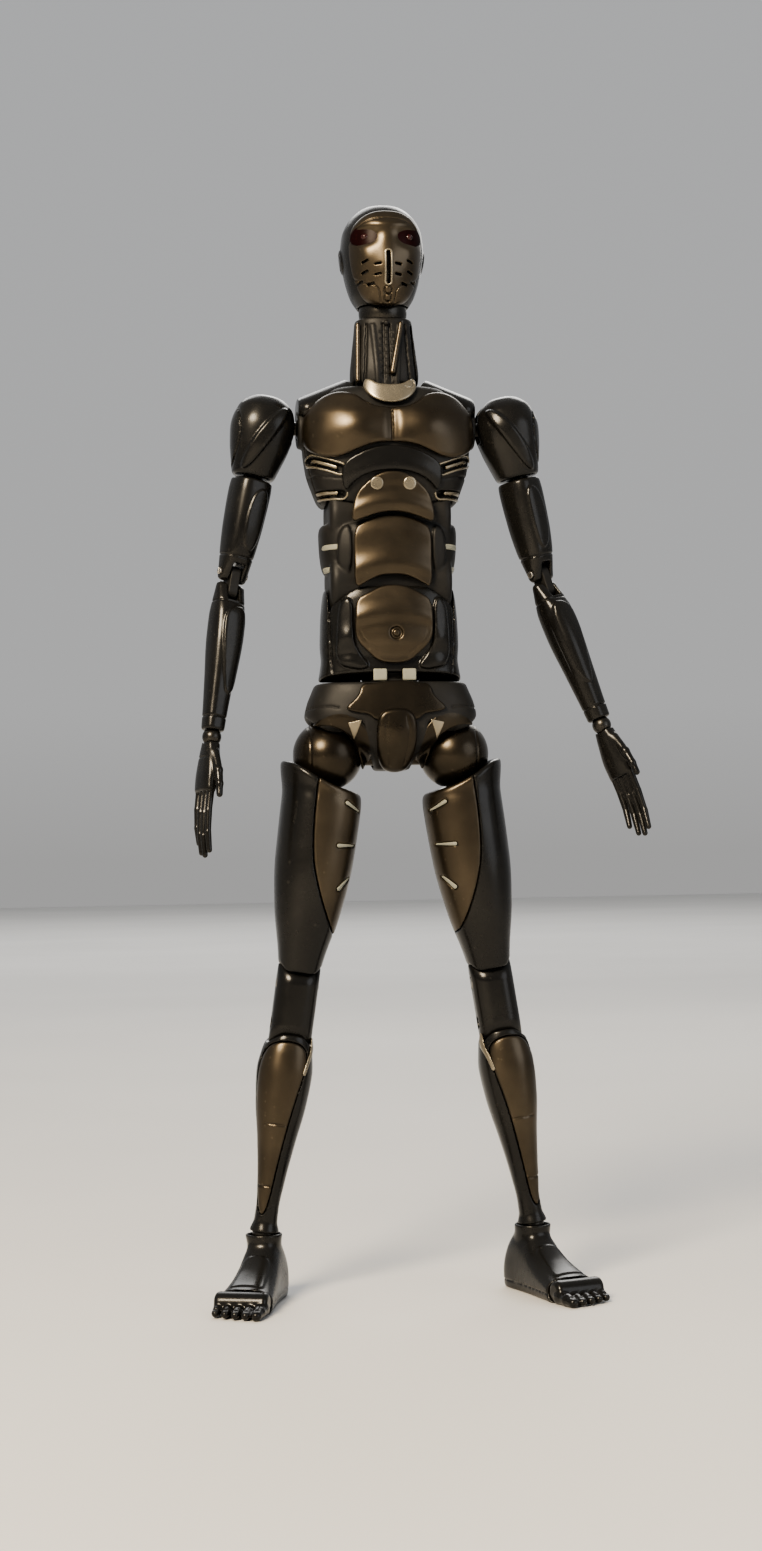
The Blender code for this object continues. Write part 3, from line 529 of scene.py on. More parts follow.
def hip_arch(p):
    y = p[1]
    z = p[2] - HIP_Z
    a, b = radians(35), radians(15)
    ahead = both(z * cos(a) + y * sin(a), y)
    behind = both(z * cos(b) - y * sin(b), -y)
    arch = np.minimum(np.hypot(y, z) - ARCH_R, np.minimum(ahead, behind))
    return smax(arch, 8.8 - abs(p[0]), 1.2)


def pelvis_block(p):
    d = loft(p, PELVIS, 143.6, 167.4, 3, 0.8)
    ridge = both(abs(p[1]) - 1.8, abs(abs(p[0]) - 13.7) - 5.3)
    d = np.minimum(d, smax(ridge, abs(p[2] - 166.6) - 1.15, 0.2))
    skin = tube(p, PELVIS, 3)
    d = cut(d, hip_arch(p), 1)
    q = folded(p)
    d = groove(d, skin, q, [(15.4, 160.2), (18.5, 161), (25.5, 160)], p[1] + 1, 0.2, 0.4)
    d = groove(d, skin, q, [(14.6, 168), (15.6, 162), (13.4, 155)], -p[1], 0.2, 0.4)
    d = cut(d, ball(p, 8.9, (0, 0, WAIST_Z)))
    d = both(d, -drum(p, 2, (0, 0, 163), 3.2, 5.7))
    for s in (1, -1):
        d = both(d, -drum(p, 0, (s * 8, 0, HIP_Z), BORE_R, 4.8))
    return d


build("pelvis_block", "pelvis", CORE, (-26, -15.5, 142), (26, 15.5, 169), pelvis_block, 0.36)


def plated(name, body, mat, rings, points, thick, z0, n=2.6, facing=-1, near=2, swell=None,
        extra=None, cell=0.3, edge=0.55, slot=None):
    """Builds a trunk plate from its outline in figure heights, on a body z0 above the soles."""
    rings = down(rings, z0)
    points = below(points, z0)
    xs = [q[0] for q in points]
    zs = [q[1] for q in points]
    deep = max(r[2] for r in rings) + thick + 2.5
    low = (min(xs) - 0.5, -deep if facing < 0 else near - 1, min(zs) - 0.5)
    high = (max(xs) + 0.5, -near + 1 if facing < 0 else deep, max(zs) + 0.5)

    def shape(p):
        grow = swell(p) if swell else 0
        d, skin = seated(p, rings, points, 0.25, thick, n, edge, facing, near, grow)
        return extra(p, d, skin) if extra else d
    build(name, body, mat, low, high, shape, cell, slot)


def wave(p, z, drop, high, amount):
    """A soft ridge across the front that arches down towards the sides."""
    return amount * np.exp(-((p[2] - z + drop * p[0] ** 2) / high) ** 2)


FRONT_PLATE = mirrored([(0, 167.6), (2.8, 167.6), (6, 166.9), (9.4, 166.9), (10.2, 163.4),
    (14.4, 160), (11, 158.9), (7.6, 158.6), (5.8, 156.6), (0, 157.4)])
plated("pelvis_front_plate", "pelvis", BALL, PELVIS, FRONT_PLATE, 0.9, 0, 3, -1, 5, edge=0.5)
plated("pelvis_back_plate", "pelvis", PLATE, PELVIS, mirrored([(0, 166.8), (8, 166.4), (14, 163),
    (12.6, 156.6), (5, 152.8), (0, 151.4)]), 1.1, 0, 3, 1, 5, cell=0.33,
    extra=lambda p, d, k: engrave(d, k, both(trail(p, [(0, 165), (0, 153)]), -p[1])))


def crotch(p, d, skin):
    q = folded(p)
    return groove(d, skin, q, [(2.6, 157.6), (3.4, 153), (2.2, 145)], p[1], 0.14, 0.2)


plated("crotch_guard", "pelvis", BALL, PELVIS, mirrored([(0, 160), (3.4, 159.6), (5.3, 157.4),
    (5.6, 152), (4.9, 146.6), (3.2, 143.4), (0, 142.6)]), 1.9, 0, 3, -1, 3, edge=1.3,
    swell=lambda p: bump(p, 0, 150, 3.4, 7, 0.9), extra=crotch)

FLEXOR = [(22.6, 155.6), (19.6, 158.6), (15, 159.7), (11.2, 158.4), (7.5, 154.2), (6, 149),
    (6.3, 144.2), (8.2, 143), (9, 145.6), (10.2, 149.4), (12.6, 152.8), (16.4, 155.2),
    (20.2, 155.6)]
# outline of a small light bronze triangle on each hip flexor: a painted glint
GLINT = [(9.4, 157), (13.2, 156.2), (11.4, 151.6)]


def flexor_skin(p):
    return smin(tube(p, PELVIS, 3), ball(folded(p), 0, (HIP_X, 0, HIP_Z)) - CUP_R, 3)


for side, s in SIDES:
    def flexor(p):
        q = flipped(p, s)
        skin = flexor_skin(p)
        d = smax(skin, outline(q, FLEXOR), 0.6)
        d = smax(d, BALL_R + 0.22 - ball(folded(p), 0, (HIP_X, 0, HIP_Z)), 0.2)
        d = smax(d, -(skin + 1.4), 0.3)
        return smax(d, p[1] + 2.5, 0.4)
    build("hip_flexor_" + side, "pelvis", BALL, *sided(s, (5.2, -14, 142.4), (23.2, -2, 160.4)),
        flexor, 0.27)

    # a thin light bronze triangle laid on the flexor: a painted glint
    def glint(p):
        q = flipped(p, s)
        skin = flexor_skin(p)
        d = smax(skin - 0.3, outline(q, GLINT, 0), 0.12)
        return smax(smax(d, -(skin + 0.3), 0.1), p[1] + 4, 0.1)
    build("hip_trim_" + side, "pelvis", BRIGHT, *sided(s, (9, -14, 151.2), (13.6, -5, 157.4)),
        glint, 0.16)


# ---------------------------------------------------------------- waist and abdomen
BELLOWS_R, BELLOWS_HALF, BELLOWS_AIR = 9.7, 16.8, 0.35


def waist_ball(p):
    d = ball(p, 8.5)
    d = smin(d, drum(p, 2, (0, 0, -9), 2.8, 5), 0.4)
    shelf = brick(p, (0, -7.2, -4.18), (6, 2.9, 0.34))
    return smin(d, shelf, 0.3)


build("waist_ball", "waist", CORE, (-9, -11, -15), (9, 9, 9), waist_ball, 0.34)
for side, s in SIDES:
    build("waist_pad_" + side, "waist", PALE, (s * 4 - 2.3, -11.7, -4.8),
        (s * 4 + 2.3, -10.2, -0.7), lambda p: brick(p, (s * 4, -10.95, -2.72), (1.9, 0.52, 1.66),
        0.5), 0.13)


def lower_abdomen(p):
    rings = down(LOWER, WAIST_Z)
    floor_z = 167.95 - WAIST_Z + abs(p[1]) * 0.21
    d = smax(tube(p, rings, TRUNK_N), p[2] - 21.7, 1.3)
    d = smax(d, floor_z - p[2], 0.8)
    skin = tube(p, rings, TRUNK_N)
    q = folded(p)
    flank = outline(q, below([(11, 190.6), (14.6, 190), (15.4, 182), (15.8, 172.4), (9.6, 170.6),
        (6.2, 171.6), (9.4, 175.4), (11.2, 179)], WAIST_Z))
    swell = 0.9 + bump(q, 13.2, 179.4 - WAIST_Z, 2.4, 2.6, 0.7)
    swell += bump(q, 12.4, 173.4 - WAIST_Z, 2.8, 2.2, 0.7)
    d = emboss(d, skin - swell, both(flank, p[1] + 2), 0, 0.9)
    d = groove(d, skin, q, below([(16.6, 193), (17.2, 184), (16.4, 170)], WAIST_Z), p[1] + 1, 0.22,
        0.5)
    d = panel(d, skin, q, below([(-6, 191), (6.5, 191), (9, 182), (6, 173), (-6, 173)], WAIST_Z),
        1 - p[1], 0.7, 0.8)
    d = engrave(d, skin - 0.7, both(abs(p[0]), 1 - p[1]), 0.25, 0.3)
    d = cut(d, ball(p, 8.9))
    return cut(d, drum(p, 0, (0, 0, BELLY_Z - WAIST_Z), BELLOWS_R + BELLOWS_AIR, 17.2, 0.8))


build("lower_abdomen", "lower_abdomen", SHELL, (-20, -13.5, -4.2), (20, 13, 22), lower_abdomen,
    0.36, "satin_frame")


def belly_extra(p, d, skin):
    z = 180.5 - WAIST_Z
    hollow = np.hypot(p[0] - 0.4, p[2] - z)
    d = cut(d, smax(hollow - 1.7, -(skin + 0.75), 0.3), 0.5)
    stud = smax(hollow - 1, abs(skin + 0.35) - 0.5, 0.45)
    d = smin(d, stud, 0.15)
    for s in (1, -1):
        fold = trail(p, below([(s * 9.4, 181), (s * 7.6, 178), (s * 4.4, 175.4)], WAIST_Z))
        d = engrave(d, skin, both(fold, p[1]), 0.13, 0.16)
    return d


plated("belly_plate", "lower_abdomen", PLATE, LOWER, mirrored([(0, 193.8), (3.4, 193.4), (7, 191.6),
    (10.4, 189.7), (10.7, 184), (10.6, 179), (7.4, 175.6), (4, 172.8), (0, 172.3)]), 1.1, WAIST_Z,
    TRUNK_N, swell=lambda p: (wave(p, 14.8, 0.02, 2.6, 0.55) + bump(p, 0, 7, 8, 5, 0.7)
    - wave(p, 10.6, 0, 1.6, 0.15)), extra=belly_extra, edge=0.5)


def mid_abdomen(p):
    rings = down(MID, BELLY_Z)
    d = loft(p, rings, 197.3 - BELLY_Z, 211.2 - BELLY_Z, TRUNK_N, 1.3)
    skin = tube(p, rings, TRUNK_N)
    q = folded(p)
    d = panel(d, skin, q, below([(11, 210.6), (14, 209.6), (15.2, 204), (14.4, 197.4),
        (11.2, 196.4)], BELLY_Z), p[1] + 2, 0.95, 0.8)
    d = panel(d, skin, q, below([(-6, 210), (7.5, 210), (9, 204), (7, 198), (-6, 198)], BELLY_Z),
        1 - p[1], 0.7, 0.8)
    for z in (0, CHEST_Z - BELLY_Z):
        roll = drum(p, 0, (0, 0, z), BELLOWS_R, BELLOWS_HALF, 2.4)
        d = smin(d, roll, 0.4)
    return engrave(d, skin - 0.7, both(abs(p[0]), 4 - p[1]), 0.25, 0.3)


build("mid_abdomen", "mid_abdomen", CORE, (-20, -13.2, -10.2), (20, 12.9, 28.2), mid_abdomen, 0.36)
plated("mid_abdomen_plate", "mid_abdomen", PLATE, MID_SKIN, mirrored([(0, 212.9), (3.6, 212.6),
    (7.6, 211), (10.6, 209.2), (10.7, 202), (10.6, 192.6), (7.6, 194.4), (4, 196.2), (0, 196.6)]),
    0.9, BELLY_Z, TRUNK_N, edge=0.5, swell=lambda p: wave(p, 4.4, 0.02, 3, 0.75)
    + wave(p, 13.6, 0.02, 2, 0.2))
for side, s in SIDES:
    for i, z in enumerate((204.4, 198.4)):
        def slit(p):
            k = tube(p, down(MID, BELLY_Z), TRUNK_N)
            shape = brick(p, (s * 16.2, 0, z - BELLY_Z), (2.4, 30, 0.74), 0.7)
            return smax(smax(smax(shape, k - 0.3, 0.3), -(k + 0.5), 0.1), p[1] + 2, 0.1)
        build("side_slit_%s_%d" % (side, i), "mid_abdomen", PALE, (s * 16.2 - 2.8, -13.2,
            z - BELLY_Z - 1.2), (s * 16.2 + 2.8, -1.5, z - BELLY_Z + 1.2), slit, 0.16)


# ---------------------------------------------------------------- chest
VENTS = [(17.7, 226.6, 5.5, 1.5, 21), (17.3, 218.9, 5.2, 1.45, 4)]


def yoke(p):
    """The sloping muscle from the neck to each shoulder."""
    z = NECK_Z - CHEST_Z
    q = folded(p)
    q[1] *= 0.6
    d = bar(q, (8, 0.2, z + 0.2), (21.5, 0.3, z - 5.4), 4.4, 4.6)
    q = folded(p)
    return smax(d, 11.3 - np.hypot(q[0], p[1] * 1.04), 0.6)


UPPER = mirrored([(0, 224.4), (3.2, 224), (6.8, 221.8), (10, 218.6), (11.2, 214.4), (11.4, 210.4),
    (7.6, 211.8), (4, 213), (0, 213.5)])


def rib_cage(p):
    rings = down(RIBS, CHEST_Z)
    d = loft(p, rings, 215.9 - CHEST_Z, 248.6 - CHEST_Z, TRUNK_N, 2.2)
    skin = tube(p, rings, TRUNK_N)
    q = folded(p)
    facing = p[1] + 3
    for x, z, long, high, tilt in VENTS:
        hole = oval(q, x, z - CHEST_Z, long - 0.5, high - 0.5, tilt)
        d = cut(d, smax(both(hole, facing), -(skin + 1.7), 0.3), 0.25)
    d = groove(d, skin, q, below([(12.8, 222.6), (16, 223), (21, 224), (26, 224.4)], CHEST_Z), p[1],
        0.2, 0.4)
    d = groove(d, skin, q, below([(12, 216), (16, 216.4), (20, 216.6), (26, 216.4)], CHEST_Z), p[1],
        0.2, 0.4)
    side = trail(p, [(-3, 3.4), (-5, 12), (-3, 20), (1, 24)], plane=YZ)
    d = engrave(d, skin, both(side, 14 - q[0]), 0.2, 0.5)
    for s in (1, -1):
        d = smin(d, drum(p, 0, (s * 21.4, 0, SHOULDER_Z - CHEST_Z), 5.6, 3.2, 0.9), 0.8)
    d = cut(d, drum(p, 0, (0, 0, 0), BELLOWS_R + BELLOWS_AIR, 17.2, 0.8))
    d = cut(d, ball(p, 7.95, (0, 0, NECK_Z - CHEST_Z)))
    apron = smax(tube(p, down(UPPER_SKIN, CHEST_Z), TRUNK_N) + 0.2,
        outline(p, below(UPPER, CHEST_Z)) + 0.8, 0.4)
    apron = smax(apron, both(216.2 - CHEST_Z - p[2], p[1] + 8), 0.6)
    d = smin(d, smax(apron, BELLOWS_R + BELLOWS_AIR - np.hypot(p[1], p[2]), 0.3), 0.3)
    throat = loft(p, [(0, 10, 8.5, 0, .4), (30, 10, 8.5, 0, .4)], NECK_Z - CHEST_Z - 0.4, 50, 2.4)
    d = cut(d, throat, 0.4)
    for s in (1, -1):
        d = both(d, -drum(p, 0, (s * 20.5, 0, SHOULDER_Z - CHEST_Z), BORE_R, 7))
    return d


build("rib_cage", "chest", CORE, (-25.2, -16, 1.8), (25.2, 15.5, 36.6), rib_cage, 0.36)
for side, s in SIDES:
    def trapezius(p):
        d = yoke(p)
        ribs = loft(p, down(RIBS, CHEST_Z), -20, 248.6 - CHEST_Z, TRUNK_N, 2.2)
        return smax(smax(d, -(ribs + 0.6), 0.2), -s * p[0], 0.1)
    build("shoulder_yoke_" + side, "chest", SHELL, *sided(s, (4, -8.2, 27.4), (24.4, 9, 40.6)),
        trapezius, 0.3)
    for i, (x, z, long, high, tilt) in enumerate(VENTS):
        def rim(p):
            q = flipped(p, s)
            skin = tube(p, down(RIBS, CHEST_Z), TRUNK_N)
            around = abs(oval(q, x, z - CHEST_Z, long, high, tilt)) - 0.27
            # the lower vent's bright rim keeps only its lower arc; the left-out upper arc is
            # painted shade under the overhang above
            if z < 220:
                around = smax(around, p[2] - z + CHEST_Z - 0.2, 0.3)
            d = smax(smax(around, skin - 0.35, 0.3), -(skin + 0.5), 0.1)
            inner = oval(q, x + 0.4, z - CHEST_Z + 0.2, long - 2, 0.45, tilt)
            strip = smax(smax(inner, skin + 0.05, 0.3), -(skin + 1.9), 0.1)
            return both(np.minimum(d, strip), p[1] + 3)
        build("chest_vent_%s_%d" % (side, i), "chest", BRIGHT, *sided(s,
            (11, -15.5, z - CHEST_Z - 4.4), (24, -2.5, z - CHEST_Z + 4.4)), rim, 0.2)


def pec_swell(p):
    z = 237.4 - CHEST_Z
    grow = bump(p, 10.6, z, 7.8, 6.2, 1.9) + bump(p, -10.6, z, 7.8, 6.2, 1.9)
    return grow - bump(p, 0, z - 2, 1.5, 14, 0.9)


def pec_extra(p, d, skin):
    return engrave(d, skin, both(trail(p, below([(0, 250), (0, 228)], CHEST_Z), 0), p[1]), 0.16,
        0.5)


PECS = mirrored([(0, 241.8), (4.4, 242), (7.2, 243.6), (10, 246), (15, 246.8), (20, 244.8),
    (23.6, 240.4), (23.9, 234.6), (22.6, 230.6), (18.8, 228.4), (14, 228.2), (9.6, 230.2),
    (5.2, 231.8), (0, 232.2)])
plated("chest_plate", "chest", PLATE, RIBS, PECS, 1.5, CHEST_Z, TRUNK_N, -1, 2, pec_swell,
    pec_extra, cell=0.33, edge=1)
plated("chest_band", "chest", SHELL, RIBS, mirrored([(0, 231.4), (5, 230.9), (9.4, 229.2),
    (13.4, 226.8), (13.9, 222.6), (12.6, 218.9), (10.8, 221.4), (7.6, 223.4), (4, 224.4),
    (0, 224.7)]), 0.95, CHEST_Z, TRUNK_N, -1, 2, swell=lambda p: wave(p, 13, 0.03, 2.6, 0.3),
    slot="satin_frame")
plated("upper_abdomen_plate", "chest", PLATE, UPPER_SKIN, UPPER, 1.1, CHEST_Z, TRUNK_N, edge=0.6,
    swell=lambda p: wave(p, 2.6, 0.02, 2.2, 0.6) + wave(p, 8.4, 0.03, 2, 0.25))
for side, s in SIDES:
    def stud(p):
        k = tube(p, down(UPPER_SKIN, CHEST_Z), TRUNK_N, 1.1)
        r = np.hypot(p[0] - s * 4.5, p[2] - 220.9 + CHEST_Z)
        d = smax(smax(r - 1.85, k - 0.75, 0.5), -(k + 0.9), 0.1)
        return both(d, p[1] + 5)
    build("abdomen_stud_" + side, "chest", BRIGHT, (s * 4.5 - 2.3, -17, 5),
        (s * 4.5 + 2.3, -10, 9.8), stud, 0.16)
plated("back_plate", "chest", PLATE, RIBS, mirrored([(0, 245.4), (9, 245.6), (17.6, 242),
    (19.6, 233), (17, 224.6), (8, 221.4), (0, 219.8)]), 1, CHEST_Z, TRUNK_N, 1, 2,
    lambda p: (bump(p, 9.5, 22, 7, 8, 0.5) + bump(p, -9.5, 22, 7, 8, 0.5)),
    lambda p, d, k: engrave(d, k, both(trail(p, [(0, 40), (0, -5)], 0), -p[1]), 0.2, 0.6), edge=0.8,
    cell=0.36)


def gorget_extra(p, d, skin):
    ring = abs(np.hypot(p[0] - 5, p[2] - 35.2) - 1.5)
    return engrave(d, skin, both(ring, p[1], 4.2 - p[0]), 0.14, 0.3)


plated("collar", "chest", BRIGHT, COLLAR, mirrored([(0, 248.2), (3.4, 248.5), (5.4, 249.9),
    (6.9, 250.1), (7.5, 247.4), (5.6, 244.8), (2.8, 243.4), (0, 243.1)]), 1.1, CHEST_Z, TRUNK_N,
    cell=0.22, extra=gorget_extra)


# ---------------------------------------------------------------- neck and head
NECK = [(249, 9, 7.7, 0, 0.4), (252.5, 9.5, 7.9, 0, 0.4), (259, 8.9, 7.4, 0, 0.6),
    (264, 8.3, 7.1, 0, 0.8), (267.8, 7.9, 6.9, 0, 1)]
NAPE_R = 6.7


def neck(p):
    rings = down(NECK, NECK_Z)
    d = loft(p, rings, 1.7, 20.3, ROUND_N, 0.9)
    skin = tube(p, rings, ROUND_N)
    q = folded(p)
    for x in (0.9, 5.6, 7.6):
        line = both(trail(q, [(x * 1.2, -5), (x, 10), (x * 0.9, 25)]), p[1] - 1)
        line = both(line, p[2] - 18.2)
        d = engrave(d, skin, line, 0.3, 0.55)
    cord = both(trail(q, [(2.6, -3), (2.9, 8), (4.4, 24)]) - 0.7, p[1] + 2, p[2] - 18.4)
    d = emboss(d, skin, cord, 0.35, 0.5)
    for z in range(4, 18, 2):
        ring = both(abs(p[2] - z), q[0] - 1.6)
        d = engrave(d, skin, both(ring, p[1]), 0.22, 0.3)
    d = smin(d, ball(p, 0.8, (0, -6.5, 18.4)), 0.2)
    d = smin(d, ball(p, 7.4), 0.6)
    d = cut(d, ball(p, NAPE_R + AIR, (0, HEAD_Y, HEAD_Z - NECK_Z)))
    return both(d, -drum(p, 2, (0, HEAD_Y, 14.6), 2.8, 6))


build("neck", "neck", CORE, (-10.5, -9.7, -8), (10.5, 9.2, 21.2), neck, 0.28)
for name, foot, tip in (("tendon_a", (-8, -5.2, 2.7), (-7.6, -3.8, 18.2)), ("tendon_b",
        (1.3, -7.9, 4.6), (4, -6.4, 18.2))):
    build(name, "neck", PLATE, [min(a, b) - 1.4 for a, b in zip(foot, tip)], [max(a, b) + 1.4 for a,
        b in zip(foot, tip)], lambda p: bar(p, foot, tip, 0.86, 0.7), 0.16)


def neck_ball(p):
    return smin(ball(p, NAPE_R), drum(p, 2, (0, 0, -7.6), 2.4, 5.7), 0.4)


build("neck_ball", "neck_ball", JOINT, (-7.4, -7.4, -14), (7.4, 7.4, 7.4), neck_ball, 0.3)

SKULL = [(271.2, 6.6, 7.4), (275, 8.9, 10.4), (281, 10.6, 12.4), (287, 11.5, 13.2), (292, 11, 12.7),
    (295.5, 9.5, 11.1), (298.2, 7, 8.4), (299.6, 4.4, 5.4), (300.2, 1.4, 2)]
SKULL = [(z - HEAD_Z, hx, hy, 0, 1.6 - HEAD_Y) for z, hx, hy in SKULL]
MASK = [(270, 5.7, 9.2), (273.5, 7.9, 11.3), (280, 10.1, 12.7), (288, 11.1, 13.2),
    (294, 10.3, 12.4), (299, 7.4, 9.6)]
MASK = [(z - HEAD_Z, hx, hy, 0, 0.6 - HEAD_Y) for z, hx, hy in MASK]
FACE = below(mirrored([(0, 296.6), (4.5, 296.2), (8.2, 294), (10.4, 290), (10.6, 284), (9.2, 277),
    (6.6, 272.8), (3.4, 270.9), (0, 270.6)]), HEAD_Z)


def skull(p):
    d = loft(p, SKULL, 271.4 - HEAD_Z, 299.74 - HEAD_Z, 2.2, 0.8)
    skin = tube(p, SKULL, ROUND_N)
    q = folded(p)
    ear = np.hypot(p[1] - 1.5, p[2] - 14.5)
    side = 5 - q[0]
    d = emboss(d, skin, both(ear - 3.4, side), 0.4, 0.5)
    d = engrave(d, skin, both(abs(ear - 2.2), side), 0.2, 0.3)
    seam = trail(p, [(6, 1), (7, 8), (6, 16), (4.6, 24), (2, 31)], plane=YZ)
    d = engrave(d, skin, seam, 0.18, 0.4)
    crest = both(trail(p, [(0, 40), (0, -3)], 0), -p[1] + 3)
    d = engrave(d, skin, crest, 0.18, 0.3)
    return cut(d, ball(p, NAPE_R + AIR))


build("skull_shell", "head", SHELL, (-12.5, -13, 0.6), (12.5, 15.5, 30), skull, 0.3)

EYE_Z, SLOT_Z = 18.6, 9.9


def mask_skin(p):
    skin = tube(p, MASK, ROUND_N)
    brow = bump(p, 0, 22, 9, 1.6, 0.65)
    cheeks = bump(p, 6.4, 13, 3, 4, 0.55) + bump(p, -6.4, 13, 3, 4, 0.55)
    muzzle = bump(p, 0, 10, 3.2, 6.5, 0.9)
    eyes = bump(p, 6, EYE_Z, 3.1, 2, 1.5) + bump(p, -6, EYE_Z, 3.1, 2, 1.5)
    return skin - brow - cheeks - muzzle + eyes


def face_mask(p):
    skin = mask_skin(p)
    d = smax(skin, outline(p, FACE), 0.9)
    d = cut(d, tube(p, MASK, ROUND_N, -1), 0.2)
    d = smax(d, 6.6 + p[1], 0.3)
    q = folded(p)
    facing = p[1] + 4
    eye = outline(q, [(3.4, 17.6), (5, 19.6), (8.4, 20.8), (9.6, 19.6), (8, 17.4), (5, 16.6)])
    d = cut(d, both(eye, facing), 0.35)
    slot = oval(p, 0, SLOT_Z, 4.4, 0.56, 90)
    d = cut(d, both(slot, facing), 0.2)
    for row, z in enumerate((10.9, 8.1, 5.3)):
        for x in ((2.8, 6.2), (2.8, 6.2), (4.6, 7.4))[row]:
            vent = oval(q, x, z + 0.24 * (x - 2.8), 0.95, 0.3, -6 - 4 * (x - 2.8))
            d = cut(d, both(vent, facing), 0.15)
    d = groove(d, skin, q, [(0, 23.6), (4, 23.4), (8, 21.8), (10.8, 18)], facing, 0.14, 0.3)
    d = groove(d, skin, q, [(1.9, 1), (2.6, 5.2), (6.6, 6), (10.5, 9.5)], facing, 0.14, 0.3)
    for z, r in ((3.9, 0.85), (1.9, 0.75)):
        rr = np.hypot(p[0], p[2] - z)
        d = engrave(d, skin, both(abs(rr - r - 0.25), facing), 0.14, 0.3)
        d = emboss(d, skin, both(rr - r, facing), 0.3, 0.3)
    return d


build("face_mask", "head", PLATE, (-11.2, -15.4, -0.6), (11.2, -6, 27), face_mask, 0.17)


def bezel(p):
    skin = mask_skin(p)
    ring = abs(oval(p, 0, SLOT_Z, 4.72, 0.86, 90)) - 0.27
    d = smax(smax(ring, skin - 0.42, 0.25), -(skin + 0.1), 0.05)
    return both(d, p[1] + 4)


build("face_bezel", "head", BRIGHT, (-1.6, -16, 4.2), (1.6, -9.5, 15.6), bezel, 0.12)


def eye_strip(p):
    field = below(mirrored([(0, 292.8), (9.4, 292.6), (10.2, 286.6), (0, 286)]), HEAD_Z)
    return seated(p, SKULL, field, 0.2, 0.45, 2.2, 0.2, -1, 6.6)[0]


build("eye_strip", "head", LENS, (-10.8, -13.6, 15), (10.8, -6, 23), eye_strip, 0.2)
for side, s in SIDES:
    build("eye_lens_" + side, "head", EYE, (s * 6 - 1.4, -12.6, EYE_Z - 1.3),
        (s * 6 + 1.4, -9.6, EYE_Z + 1.3), lambda p: egg(p, (s * 6, -11, EYE_Z), (1.15, 1.15, 1)),
        0.11)


# ---------------------------------------------------------------- arms
CAP = [(9.4, 1.6, 1.6), (8.2, 4.8, 4.6), (5, 7.8, 7.6), (0, 8.9, 8.7), (-5, 8.2, 8.2),
    (-10, 6.9, 7.1), (-14.2, 5.7, 5.9)]
UPPER_ARM = [(-14.4, 5.2, 5.4), (-18, 5.4, 5.6), (-27, 5.1, 5.4), (-34, 4.6, 4.7), (-38, 4.3, 3.6),
    (-41, 4.2, 2.45), (-42.4, 4.1, 1.95), (-43.4, 3.8, 0.9)]
LOW_ARM = [(2.3, 3.8, 0.7), (1.4, 4.1, 1.8), (0, 4.2, 2.35), (-3, 4.4, 3.4), (-7, 4.6, 4.3),
    (-13, 4.5, 4.5), (-25, 3.7, 3.8), (-35, 3.1, 3.1), (-39.4, 2.9, 2.9)]


